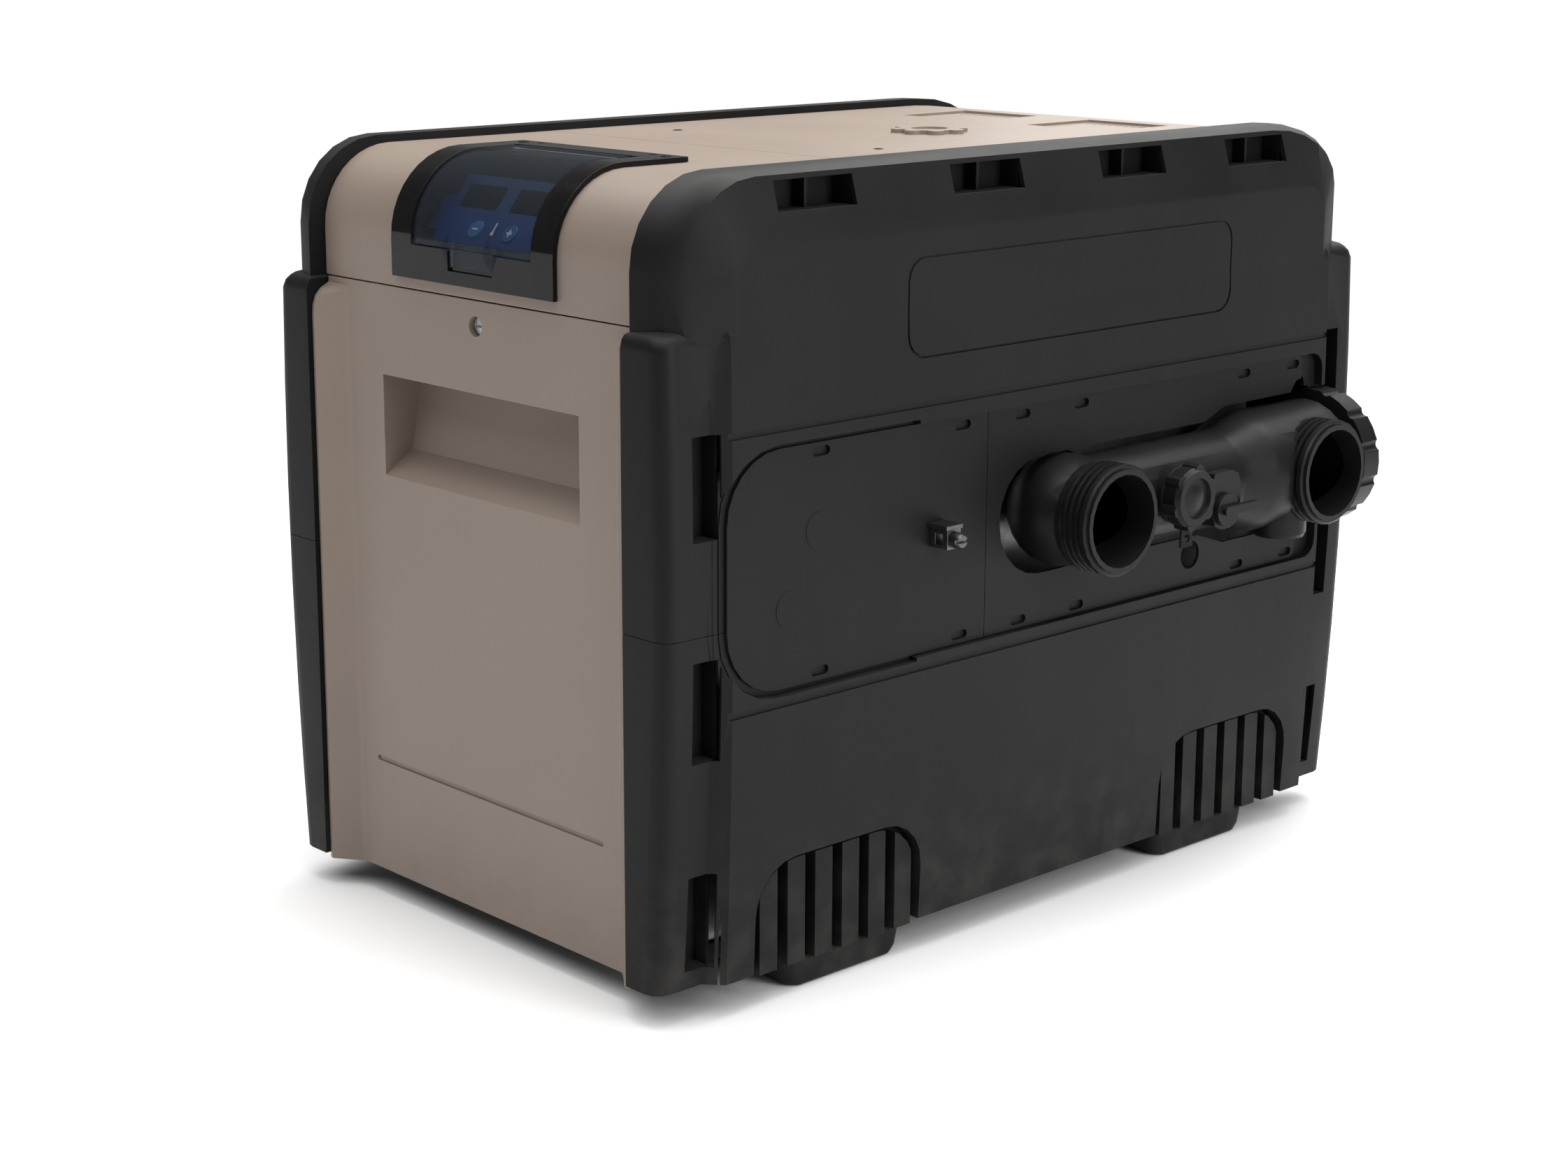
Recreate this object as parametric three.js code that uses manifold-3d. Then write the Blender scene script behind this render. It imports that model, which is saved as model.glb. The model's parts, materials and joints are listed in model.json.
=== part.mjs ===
// Pool heater cabinet: a polymer-clad box on two skid feet, with a water header on its right side.
// Millimetres. +Z is up, the door faces -Y and the header faces +X. Sizes are given from the middle
// of the cabinet, and the last step moves the origin to the ground under the middle of the whole unit,
// header included.

import * as THREE from 'three';
import { mergeVertices } from 'three/addons/utils/BufferGeometryUtils.js';
import Module from 'manifold-3d';

const wasm = await Module();
wasm.setup();

// ---------------------------------------------------------------- driving dimensions

const GAP = 0.3; // between pieces that seat on each other
const SHELL = 3.5; // wall of the moulded sides
const SHEET = 1.6; // wall of the steel frame

const CABINET = { halfDepth: 383, height: 588, hoodHeight: 103, floorZ: 25 };
CABINET.seamZ = CABINET.height - CABINET.hoodHeight;
const POST = { innerX: 185, sideX: 229.5, width: 41, cornerR: 13, topZ: CABINET.seamZ - 1.5 };
const FIELD = {
  x: 238, halfWidth: CABINET.halfDepth - 53, topZ: CABINET.height - 47, frontY: 60 - CABINET.halfDepth,
};
const BOW = { z: 320, post: 11.5 / 290 ** 2, field: 7 / 295 ** 2 };
const ARCH = {
  innerX: 188, outerX: 222, frontY: 6 - CABINET.halfDepth, rearY: CABINET.halfDepth - 12,
  frontR: 64, rearR: 88, rearRise: 50, easing: 19,
};
const SPLIT = { z: 279.3, gap: 0.5 };
const FRONT_Y = 20 - CABINET.halfDepth; // plane of the door and the hood
const REAR_Y = CABINET.halfDepth - 20;
const TOP_Z = CABINET.height - 6;

const DOOR = { halfWidth: 184.4, flatHalf: 165, flankRise: 16, flange: 11, wall: 3, bottomZ: 21 };
const PULL = { halfWidth: 116, bottomZ: 340, topZ: 417, depth: 38, lineDepth: 25, lineZ: 357 };
const LOCK = { z: CABINET.seamZ - 19, bossR: 7.5, depth: 9 };
const HOOD = { halfWidth: 187.4, frontR: 60, wall: 3, seamY: FRONT_Y + 219, openHalf: 84 };
const BEZEL = { halfWidth: 95, proud: 4, bottomZ: TOP_Z - 88, rearY: FRONT_Y + 120 };
const LID = {
  halfWidth: 69.5, bottomZ: TOP_Z - 62, hingeY: FRONT_Y + 91.5, hingeZ: TOP_Z + 0.6,
  swing: 4.3, wall: 2.4, finX: 24,
};
const DISPLAY = {
  frontY: FRONT_Y + 11, frontZ: TOP_Z - 60, slope: 51.6, length: 58, halfWidth: 66, wall: 2.5,
};
const BUTTON = { radius: 7.5, travel: 1.2, along: 13, spacing: 40, offset: -2 };

const BAND = {
  bottomZ: 229.5, topZ: 401.5, frontY: 51 - CABINET.halfDepth, rearY: CABINET.halfDepth - 57,
  cornerR: 48, seatX: 226.5,
};
const COVER = { x: 230.5, wall: 2.5, lapY: -74.8, rearY: BAND.rearY - 22, gap: 1 };
const SLOT = { length: 17, height: 7 };
const GRIP = {
  halfWidth: 37, bottomZ: CABINET.height - 28, topZ: CABINET.height - 7, depth: 24,
  centres: [-244, -73, 88, 239],
};
const HANDHOLD = {
  halfWidth: 11, y: CABINET.halfDepth - 36, depth: 15, rows: [[345, 417], [190, 262], [38, 108]],
};
const LOUVRE = { near: -221, halfWidth: 83, topZ: 106, bars: 6, pitch: 27, bar: 17, depth: 14, sink: 3.5 };
const SKID = { y: 206, halfLength: 57, halfWidth: 223, height: 22 };

const UNION = { ys: [11.5, 274], faceX: 292, r: 42.5, boreR: 35.3, threadX: 265, crests: 4 };
const UNION_REAR = UNION.ys[1] + UNION.r; // rear edge of the rear union
const HEADER = {
  x: 234, z: 315, r: 38.5, wall: 6, elbowR: UNION.r + 1.5, teeR: UNION.r + 6.5,
  endY: UNION_REAR - 4.5, mouthY: UNION_REAR + 10.5, spigotR: 44,
};
const KNOCKOUT = { at: [[-244, 338], [-272, 286]], r: 13.75, proud: 0.4 };
const PORT = { ys: [70, 250], r: 28, innerX: 172.4 };
const CAP = { y: 97, z: 320, r: 25, bossR: 18, x: 277.4, length: 15.6 };
const WING = { y: 152, z: 301, r: 13, x: 280 };
const NUT = { r: 56, front: UNION_REAR + 0.5, rear: UNION_REAR + 20.5, lobes: 12 };
const LUG = { y: -127, z: 317, halfWidth: 7, height: 16, length: 17 };

// ---------------------------------------------------------------- solids

/** Turns a three.js geometry into a manifold solid. */
function solid(geometry) {
  const bare = new THREE.BufferGeometry();
  bare.setAttribute('position', geometry.getAttribute('position'));
  if (geometry.index) bare.setIndex(geometry.index);
  const welded = mergeVertices(bare, 1e-4);
  return new wasm.Manifold(new wasm.Mesh({
    numProp: 3,
    vertProperties: new Float32Array(welded.getAttribute('position').array),
    triVerts: new Uint32Array(welded.index.array),
  }));
}

/** A box between two opposite corners. */
function box(x0, x1, y0, y1, z0, z1) {
  const geometry = new THREE.BoxGeometry(x1 - x0, y1 - y0, z1 - z0);
  geometry.translate((x0 + x1) / 2, (y0 + y1) / 2, (z0 + z1) / 2);
  return solid(geometry);
}

/** Turns a geometry made around +Y so that it lies along the named axis. */
function alongAxis(geometry, axis) {
  if (axis === 'x') geometry.rotateZ(-Math.PI / 2);
  if (axis === 'z') geometry.rotateX(Math.PI / 2);
  return geometry;
}

/** A round bar or cone along an axis, from one place on it to another. `at` is its other two places. */
function rod(axis, from, to, at, r, options = {}) {
  const { endR = r, segments = 28 } = options;
  const geometry = new THREE.CylinderGeometry(endR, r, to - from, segments);
  alongAxis(geometry, axis);
  const middle = (from + to) / 2;
  if (axis === 'x') geometry.translate(middle, at[0], at[1]);
  if (axis === 'y') geometry.translate(at[0], middle, at[1]);
  if (axis === 'z') geometry.translate(at[0], at[1], middle);
  return solid(geometry);
}

function ball(x, y, z, r, segments = 28) {
  const geometry = new THREE.SphereGeometry(r, segments, segments / 2);
  geometry.translate(x, y, z);
  return solid(geometry);
}

/** A solid turned about an axis. The profile is [radius, place along the axis], closed on the axis. */
function turned(axis, profile, at, segments = 28) {
  const points = profile.map(([r, along]) => new THREE.Vector2(r, along));
  const geometry = new THREE.LatheGeometry(points, segments);
  alongAxis(geometry, axis);
  if (axis === 'x') geometry.translate(0, at[0], at[1]);
  if (axis === 'y') geometry.translate(at[0], 0, at[1]);
  return outward(geometry);
}

/** Makes sure a closed geometry's faces point outwards, then turns it into a solid. */
function outward(geometry) {
  const position = geometry.getAttribute('position');
  const index = geometry.index.array;
  const [a, b, c] = [new THREE.Vector3(), new THREE.Vector3(), new THREE.Vector3()];
  let volume = 0;
  for (let i = 0; i < index.length; i += 3) {
    a.fromBufferAttribute(position, index[i]);
    b.fromBufferAttribute(position, index[i + 1]);
    c.fromBufferAttribute(position, index[i + 2]);
    volume += a.dot(b.cross(c));
  }
  if (volume < 0) {
    for (let i = 0; i < index.length; i += 3) {
      [index[i], index[i + 1]] = [index[i + 1], index[i]];
    }
  }
  return solid(geometry);
}

const PLANES = {
  x: ([a, b], level) => [level, a, b],
  y: ([a, b], level) => [a, level, b],
  z: ([a, b], level) => [a, b, level],
};

/** A solid through like outlines, each at its own level along an axis. */
function loft(axis, sections) {
  const place = PLANES[axis];
  const count = sections[0].outline.length;
  const positions = sections.flatMap((s) => s.outline.flatMap((point) => place(point, s.level)));
  const index = [];
  for (let k = 0; k + 1 < sections.length; k += 1) {
    for (let i = 0; i < count; i += 1) {
      const j = (i + 1) % count;
      const [p, q, r, s] = [k * count + i, k * count + j, (k + 1) * count + i, (k + 1) * count + j];
      index.push(p, q, s, p, s, r);
    }
  }
  const last = (sections.length - 1) * count;
  for (const [section, start] of [[sections[0], 0], [sections.at(-1), last]]) {
    const contour = section.outline.map(([a, b]) => new THREE.Vector2(a, b));
    const flip = THREE.ShapeUtils.isClockWise(contour) !== (start === 0);
    for (const [p, q, r] of THREE.ShapeUtils.triangulateShape(contour, [])) {
      if (flip) index.push(q + start, p + start, r + start);
      else index.push(p + start, q + start, r + start);
    }
  }
  const geometry = new THREE.BufferGeometry();
  geometry.setAttribute('position', new THREE.Float32BufferAttribute(positions, 3));
  geometry.setIndex(index);
  return outward(geometry);
}

/** A straight prism of one outline. */
function prism(axis, outline, from, to) {
  return loft(axis, [{ level: from, outline }, { level: to, outline }]);
}

/** Points along an arc, with both ends. Angles in degrees. */
function arc(cx, cy, rx, ry, start, end, steps) {
  return Array.from({ length: steps + 1 }, (_, i) => {
    const angle = THREE.MathUtils.degToRad(start + ((end - start) * i) / steps);
    return [cx + rx * Math.cos(angle), cy + ry * Math.sin(angle)];
  });
}

/** A rectangle's outline with rounded corners, radii in the order of its four quadrants. */
function rounded(a0, a1, b0, b1, radii, steps = 5) {
  const [ne, nw, sw, se] = radii;
  return [
    ...arc(a1 - ne, b1 - ne, ne, ne, 0, 90, steps),
    ...arc(a0 + nw, b1 - nw, nw, nw, 90, 180, steps),
    ...arc(a0 + sw, b0 + sw, sw, sw, 180, 270, steps),
    ...arc(a1 - se, b0 + se, se, se, 270, 360, steps),
  ];
}

const all = (first, ...rest) => rest.reduce((sum, next) => sum.add(next), first);
const cut = (first, ...rest) => rest.reduce((left, next) => left.subtract(next), first);

// ---------------------------------------------------------------- finishes

const finish = (color, roughness, metalness = 0) => ({ color, roughness, metalness });
const CHARCOAL = finish(0x2b2b2c, 0.62);
const TAN = finish(0x988c80, 0.42);
const GLOSS_BLACK = finish(0x0d0d0e, 0.12);
const PIPE_BLACK = finish(0x232324, 0.5);
const STEEL = finish(0x9a9ea2, 0.4, 0.9);
const ZINC = finish(0x8e9296, 0.5, 0.8);
const COPPER = finish(0xa8643c, 0.35, 0.95);
const RUBBER = finish(0x151515, 0.85);

const group = new THREE.Group();
group.name = 'pool_heater';
group.position.x = -(UNION.faceX - FIELD.x) / 2;

/** Adds a solid as one named piece. A mirrored piece is the same shape on the left side. */
function piece(name, shape, look, mirrored = false) {
  const mesh = shape.getMesh();
  const positions = Float32Array.from(mesh.vertProperties);
  const index = Uint32Array.from(mesh.triVerts);
  if (mirrored) {
    for (let i = 0; i < positions.length; i += 3) positions[i] = -positions[i];
    for (let i = 0; i < index.length; i += 3) [index[i], index[i + 1]] = [index[i + 1], index[i]];
  }
  const geometry = new THREE.BufferGeometry();
  geometry.setAttribute('position', new THREE.BufferAttribute(positions, 3));
  geometry.setIndex(new THREE.BufferAttribute(index, 1));
  geometry.computeVertexNormals();
  const made = new THREE.Mesh(geometry, new THREE.MeshStandardMaterial(look));
  made.name = name;
  group.add(made);
}

// ---------------------------------------------------------------- side mouldings

const postX = (z) => POST.sideX - BOW.post * (z - BOW.z) ** 2;
const fieldX = (z) => FIELD.x - BOW.field * (z - BOW.z) ** 2;

/** Plan outline of a side at one height: front post, raised field, rear post. */
function planOutline(z, wall, shoulder) {
  const outer = postX(z) - wall - shoulder;
  const field = fieldX(z) - wall - shoulder * 0.4;
  const end = CABINET.halfDepth - wall - shoulder;
  const post = CABINET.halfDepth - POST.width;
  const r = POST.cornerR - wall * 0.6;
  const quarter = arc(outer - r, -end + r, r, r, -90, 0, 3);
  const front = [...quarter, [outer, -post], [field, -FIELD.halfWidth - wall]];
  const rear = front.map(([x, y]) => [x, -y]).reverse();
  return [...front, ...rear];
}

/** Elevation outline of the arch: a front curve, a flat top and a longer rear curve. */
function archOutline(inset, bottomZ, topInset = inset) {
  const front = ARCH.frontY + inset;
  const rear = ARCH.rearY - inset;
  const top = CABINET.height - topInset;
  const r = ARCH.frontR - topInset * 0.5;
  const rx = ARCH.rearR - topInset * 0.5;
  const rz = ARCH.rearRise - topInset * 0.5;
  return [
    [front, bottomZ],
    ...arc(front + r, top - r, r, r, 180, 90, 6),
    ...arc(rear - rx, top - rz, rx, rz, 90, 0, 6),
    [rear, bottomZ],
  ];
}

/** Outline of the raised field inside the arch, with as many points as the arch's own. */
function fieldOutline(wall, bottomZ) {
  const front = FIELD.frontY + wall;
  const rear = -FIELD.frontY - wall;
  const top = FIELD.topZ - wall;
  return [
    [front, bottomZ],
    ...arc(front + 24, top - 24, 24, 24, 180, 90, 6),
    ...arc(rear - 24, top - 24, 24, 24, 90, 0, 6),
    [rear, bottomZ],
  ];
}

const closeInward = (outline, x, endY) => [[x, -endY], ...outline, [x, endY]];

function sideOuter() {
  const levels = [25, 90, 160, 240, 320, 400, 474];
  const sections = levels.map((z) => ({
    level: z,
    outline: closeInward(planOutline(z, 0, 0), POST.innerX, CABINET.halfDepth),
  }));
  for (const [z, inset, inner] of [[480, 1.5, 0], [POST.topZ, 4, 0], [485.2, 6, 3], [487, 11, 3]]) {
    sections.push({
      level: z,
      outline: closeInward(planOutline(z, 0, inset), POST.innerX + inner, CABINET.halfDepth - inset),
    });
  }
  const bottom = 440;
  const arch = loft('x', [
    { level: ARCH.innerX, outline: archOutline(0, bottom) },
    { level: ARCH.outerX - 19, outline: archOutline(ARCH.easing * 0.16, bottom, 0) },
    { level: ARCH.outerX - 10, outline: archOutline(ARCH.easing * 0.45, bottom, 0.6) },
    { level: ARCH.outerX, outline: archOutline(ARCH.easing, bottom, 3.5) },
    { level: fieldX(CABINET.seamZ) - 1.5, outline: fieldOutline(-2, bottom) },
    { level: fieldX(CABINET.seamZ), outline: fieldOutline(3, bottom) },
  ]);
  return all(loft('z', sections), arch);
}

/** The hollow of a side, open towards the cabinet. */
function sideHollow() {
  const flange = CABINET.halfDepth - 53;
  const inner = POST.innerX + SHELL;
  const hollow = (z, shoulder) => {
    const end = CABINET.halfDepth - SHELL - shoulder;
    const plan = planOutline(z, SHELL, shoulder);
    return [[100, -flange], [inner, -flange], [inner, -end], ...plan, [inner, end], [inner, flange], [100, flange]];
  };
  const levels = [20, 90, 160, 240, 320, 400, 470];
  const sections = levels.map((z) => ({ level: z, outline: hollow(z, 0) }));
  sections.push({ level: 483, outline: hollow(483, 11) });
  const bottom = 460;
  const lining = loft('x', [
    { level: ARCH.innerX + SHELL, outline: archOutline(SHELL, bottom) },
    { level: ARCH.outerX - 19, outline: archOutline(SHELL + ARCH.easing * 0.16, bottom, SHELL) },
    { level: ARCH.outerX - 4, outline: archOutline(SHELL + ARCH.easing, bottom, SHELL + 3.5) },
    { level: fieldX(CABINET.seamZ) - SHELL, outline: fieldOutline(SHELL, bottom) },
  ]);
  const mouth = prism('x', archOutline(27, bottom), 100, ARCH.innerX + SHELL + 1);
  return all(loft('z', sections), lining, mouth);
}

const bandOutline = (grow) => rounded(
  BAND.frontY - grow, BAND.rearY + grow, BAND.bottomZ - grow, BAND.topZ + grow,
  [14, BAND.cornerR + grow, BAND.cornerR + grow, 14], 5);

/** One foot recess, its back wall and its upright bars. */
function louvre(centreY) {
  const [y0, y1] = [centreY - LOUVRE.halfWidth, centreY + LOUVRE.halfWidth];
  const opening = (grow) => rounded(
    y0 - grow, y1 + grow, CABINET.floorZ - 40, LOUVRE.topZ + grow, [38, 38, 1, 1], 5);
  const surface = fieldX(70);
  const back = surface - LOUVRE.depth;
  const backing = prism('x', opening(3), back - 3, surface - 3)
    .intersect(box(150, 300, -400, 400, CABINET.floorZ, 300));
  const recess = prism('x', opening(0), back, 300);
  const bars = Array.from({ length: LOUVRE.bars }, (_, i) => {
    const y = centreY + (i - (LOUVRE.bars - 1) / 2) * LOUVRE.pitch;
    return box(back - 1, surface - LOUVRE.sink, y - LOUVRE.bar / 2, y + LOUVRE.bar / 2, SKID.height + 2 * GAP, 300);
  });
  const clipped = all(...bars).intersect(prism('x', opening(-LOUVRE.sink), 150, 300));
  return { backing, recess, bars: clipped };
}

/** The whole side in one shell, before it is parted into upper and lower mouldings. */
function sideShell() {
  let side = cut(sideOuter(), sideHollow());
  const seatFace = BAND.seatX + 3.7;
  const surround = prism('x', bandOutline(4), BAND.seatX, fieldX(BAND.bottomZ) - 1);
  const window = prism('x', bandOutline(-14), 150, 300);
  const ledge = prism('x', bandOutline(13), BAND.seatX, POST.sideX - 0.2);
  const frontRelief = prism('x', rounded(
    BAND.frontY - 11, -150, BAND.bottomZ - 3, BAND.topZ + 3, [1, 56, 56, 1]), seatFace, 300);
  side = cut(all(side, surround, ledge), prism('x', bandOutline(0), seatFace, 300), frontRelief, window);

  for (const z of [BAND.topZ + 13.5, BAND.bottomZ - 8.5]) {
    side = cut(side, prism('x', rounded(-334, 331, z - 2.5, z + 2.5, [2, 2, 2, 2], 1), fieldX(z) - 1.8, 300));
  }
  const plate = (inset) => rounded(-163 + inset, 201 - inset, 448 + inset, 520.5 - inset, [16, 16, 16, 16], 4);
  const badge = cut(prism('x', plate(0), 228, 300), prism('x', plate(1.6), 220, 301));
  side = cut(side, badge.intersect(box(fieldX(485) - 1, 300, -200, 250, 440, 530)));

  for (const y of GRIP.centres) {
    const [y0, y1] = [y - GRIP.halfWidth, y + GRIP.halfWidth];
    const back = ARCH.outerX + 6 - GRIP.depth;
    const liner = box(back - 2.5, 221, y0 - 2.5, y1 + 2.5, GRIP.bottomZ - 2.5, GRIP.topZ + 2.5);
    side = cut(all(side, liner), box(back, 300, y0, y1, GRIP.bottomZ, GRIP.topZ));
    side = all(side, box(back - 1, ARCH.outerX - 6, y - 1.2, y + 1.2, GRIP.bottomZ - 1, GRIP.topZ + 1));
  }
  for (const sign of [-1, 1]) {
    for (const [z0, z1] of HANDHOLD.rows) {
      const y = sign * HANDHOLD.y;
      const [y0, y1] = [y - HANDHOLD.halfWidth, y + HANDHOLD.halfWidth];
      const skin = Math.min(postX(z0 - 3), postX(z1 + 3));
      const back = skin - HANDHOLD.depth;
      const liner = box(back - 2.5, skin - 2, y0 - 2.5, y1 + 2.5, z0 - 2.5, z1 + 2.5);
      side = cut(all(side, liner), box(back, 300, y0, y1, z0, z1));
    }
    const foot = louvre(sign * -LOUVRE.near);
    side = all(cut(all(side, foot.backing), foot.recess), foot.bars);
  }
  return side;
}

const side = sideShell();
const beyond = CABINET.halfDepth + 17;
const upperHalf = box(90, 320, -beyond, beyond, SPLIT.z + SPLIT.gap, CABINET.height + 112);
const lowerHalf = box(90, 320, -beyond, beyond, -50, SPLIT.z);
const nutRoom = rod('y', 298, NUT.rear + 4, [HEADER.x, HEADER.z], NUT.r + 3);

piece('upper_side_right', cut(side, nutRoom).intersect(upperHalf), CHARCOAL);
piece('lower_side_right', cut(side, nutRoom).intersect(lowerHalf), CHARCOAL);
piece('upper_side_left', side.intersect(upperHalf), CHARCOAL, true);
piece('lower_side_left', side.intersect(lowerHalf), CHARCOAL, true);

// ---------------------------------------------------------------- covers in the side band

const coverFace = COVER.x + COVER.wall;
const slotAt = (y, z) => prism('x', rounded(
  y - SLOT.length / 2, y + SLOT.length / 2, z - SLOT.height / 2, z + SLOT.height / 2,
  Array(4).fill(SLOT.height / 2), 3), COVER.x - 1, coverFace + 1);
const coverSlots = (ys) => ys.flatMap((y) => [slotAt(y, 394), slotAt(y, 237)]);
const coverZ = [BAND.bottomZ + COVER.gap, BAND.topZ - COVER.gap];

const junction = prism('x', rounded(
  BAND.frontY + COVER.gap, COVER.lapY, ...coverZ, [1, BAND.cornerR, BAND.cornerR, 1], 6), COVER.x, coverFace);
const knockouts = KNOCKOUT.at.map((at) => rod(
  'x', coverFace - 0.5, coverFace + KNOCKOUT.proud, at, KNOCKOUT.r, { segments: 20 }));
piece('junction_cover', all(cut(junction, ...coverSlots([-243.5, -101.5])), ...knockouts), CHARCOAL);

const elbowRoom = HEADER.elbowR + 1.5;
const elbowAt = UNION.ys[0] - 26;
const above = (extra) => HEADER.z + HEADER.teeR + extra;
const below = (extra) => HEADER.z - HEADER.teeR - extra;
const cutoutOutline = [
  [COVER.rearY + 2, below(17)], [298, below(16.5)], [290, below(7.5)], [207, below(7.5)],
  [174, HEADER.z - elbowRoom], [elbowAt, HEADER.z - elbowRoom],
  ...arc(elbowAt, HEADER.z, elbowRoom, elbowRoom, 270, 90, 10).slice(1, -1).map(([y, z]) => [y, z]),
  [elbowAt, HEADER.z + elbowRoom], [179, HEADER.z + elbowRoom], [204, above(6.5)], [290, above(7)],
  [297, above(16)], [COVER.rearY + 2, above(18)],
];
const headerPlate = prism('x', rounded(
  COVER.lapY + 0.6, COVER.rearY, ...coverZ, [6, 1, 1, 6], 2), COVER.x, coverFace);
const strapHole = rod('x', COVER.x - 1, coverFace + 1, [166.5, 254.5], 11.5, { segments: 20 });
piece('header_cover', cut(
  headerPlate, prism('x', cutoutOutline, COVER.x - 1, coverFace + 1), strapHole,
  ...coverSlots([-37, 29, 227, 291.5])), CHARCOAL);

const blank = prism('x', rounded(
  BAND.frontY + COVER.gap, BAND.rearY - COVER.gap, ...coverZ, [13, BAND.cornerR, BAND.cornerR, 13], 6),
COVER.x, coverFace);
piece('left_cover', cut(blank, ...coverSlots([-243.5, -101.5, 29, 227])), CHARCOAL, true);

const lugX = coverFace + GAP;
const lugBody = all(
  box(lugX, lugX + LUG.length, LUG.y - LUG.halfWidth, LUG.y + LUG.halfWidth, LUG.z - 8, LUG.z + 8),
  box(lugX, lugX + LUG.length + 2, LUG.y - LUG.halfWidth - 3, LUG.y + LUG.halfWidth, LUG.z + 7, LUG.z + 10));
const lugWire = box(lugX + 5, lugX + 12, LUG.y - 20, LUG.y + 20, LUG.z - 5, LUG.z + 3);
const lugScrewHole = rod('x', lugX + 11, lugX + 30, [LUG.y, LUG.z - 1], 3.6, { segments: 16 });
piece('bonding_lug', cut(lugBody, lugWire, lugScrewHole), ZINC);
const lugScrew = all(
  rod('x', lugX + 10, lugX + 20, [LUG.y, LUG.z - 1], 3.5, { segments: 16 }),
  turned('x', [[0, lugX + LUG.length + GAP], [6, lugX + LUG.length + GAP], [6, lugX + 23], [4.6, lugX + 26], [0, lugX + 26]],
    [LUG.y, LUG.z - 1], 16));
piece('bonding_screw', cut(lugScrew, box(lugX + 23.5, lugX + 30, LUG.y - 8, LUG.y + 8, LUG.z - 2, LUG.z)), ZINC);

// ---------------------------------------------------------------- base, frame and feet

for (const [name, y] of [['front_skid', -SKID.y], ['rear_skid', SKID.y]]) {
  const profile = (grow) => [
    [y - SKID.halfLength + 6 - grow, 0], [y + SKID.halfLength - 6 + grow, 0], [y + SKID.halfLength + grow, 6],
    [y + SKID.halfLength + 4 + grow, SKID.height], [y - SKID.halfLength - 4 - grow, SKID.height],
    [y - SKID.halfLength - grow, 6],
  ];
  const ends = [[-1, -6], [-1, 0], [1, 0], [1, -6]];
  const levels = [-SKID.halfWidth, -SKID.halfWidth + 6, SKID.halfWidth - 6, SKID.halfWidth];
  piece(name, loft('x', levels.map((level, i) => ({ level, outline: profile(ends[i][1]) }))), CHARCOAL);
}

const panTop = SKID.height + GAP + 3.5;
const panFront = FRONT_Y + DOOR.flange + GAP;
const pan = all(
  box(-POST.innerX + GAP, POST.innerX - GAP, panFront, 362, SKID.height + GAP, panTop),
  cut(box(-POST.innerX + GAP, POST.innerX - GAP, panFront, 362, panTop - 1, panTop + 10),
    box(-POST.innerX + 3, POST.innerX - 3, -349, 359, panTop - 2, panTop + 20)));
piece('base_pan', pan, CHARCOAL);

const frameX = POST.innerX - 3.6;
const [frameFront, frameRear, frameTop] = [-348.5, 358.5, 569];
const frameOuter = box(-frameX, frameX, frameFront, frameRear, panTop + GAP, frameTop);
const frameInner = box(-frameX + SHEET, frameX - SHEET, frameFront + SHEET, frameRear - SHEET, 0, frameTop - SHEET);
const rail = 22;
const frameCuts = [
  box(-frameX + rail, frameX - rail, -400, frameFront + 10, 55, 452),
  box(-frameX + rail, frameX - rail, frameRear - 10, 400, 55, 452),
  box(-frameX + rail, frameX - rail, frameFront + rail, frameRear - rail, frameTop - 10, 700),
  box(-200, -frameX + 10, -300, 300, 90, 460),
  box(-400, 400, -400, frameFront + 95, 484, 700),
  box(-400, 400, 318, 400, 484, 700),
  box(150, 200, 300, 345, HEADER.z - NUT.r - 4, HEADER.z + NUT.r + 4),
];
const lockHole = rod('y', frameFront - 5, frameFront + 5, [0, LOCK.z], 3.6, { segments: 16 });
const portHoles = PORT.ys.map((y) => rod('x', 150, 200, [y, HEADER.z], PORT.r + 1.5));
const frameFeet = [-1, 1].map((s) => box(
  s > 0 ? frameX - 1 : -POST.innerX + 0.5, s > 0 ? POST.innerX - 0.5 : -frameX + 1,
  346, 354, 120, 480));
const frameFrontTabs = [-1, 1].map((s) => box(
  s > 0 ? frameX - 1 : -POST.innerX + 0.5, s > 0 ? POST.innerX - 0.5 : -frameX + 1,
  -346, -334, 60, 470));
piece('cabinet_frame', all(cut(frameOuter, frameInner, ...frameCuts, ...portHoles, lockHole), ...frameFeet, ...frameFrontTabs), STEEL);

const rearOuter = box(-DOOR.halfWidth, DOOR.halfWidth, frameRear + GAP, REAR_Y, CABINET.floorZ + 14, CABINET.seamZ - 0.5);
const gasHole = rod('y', frameRear - 5, REAR_Y + 5, [-145, 150], 13, { segments: 20 });
piece('rear_panel', cut(rearOuter, gasHole), TAN);

// ---------------------------------------------------------------- door

/** Plan outline of the door. Its two flanks rise forwards to meet the posts. */
function doorPlan(rise) {
  const { halfWidth: w, flatHalf: f, flange, wall: t } = DOOR;
  const y = FRONT_Y;
  const outer = [
    [-w, y + flange], [-w, y - rise], [-w + 4, y - rise * 1.06], [-f + 4, y - rise * 0.16], [-f + 9, y],
  ];
  const inner = [
    [-f + 9, y + t], [-f + 2, y + t], [-w + 5, y - rise + t], [-w + t, y - rise + 5], [-w + t, y + flange],
  ];
  const flip = (points) => points.map(([x, v]) => [-x, v]).reverse();
  return [...outer, ...flip(outer), ...flip(inner), ...inner];
}

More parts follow.
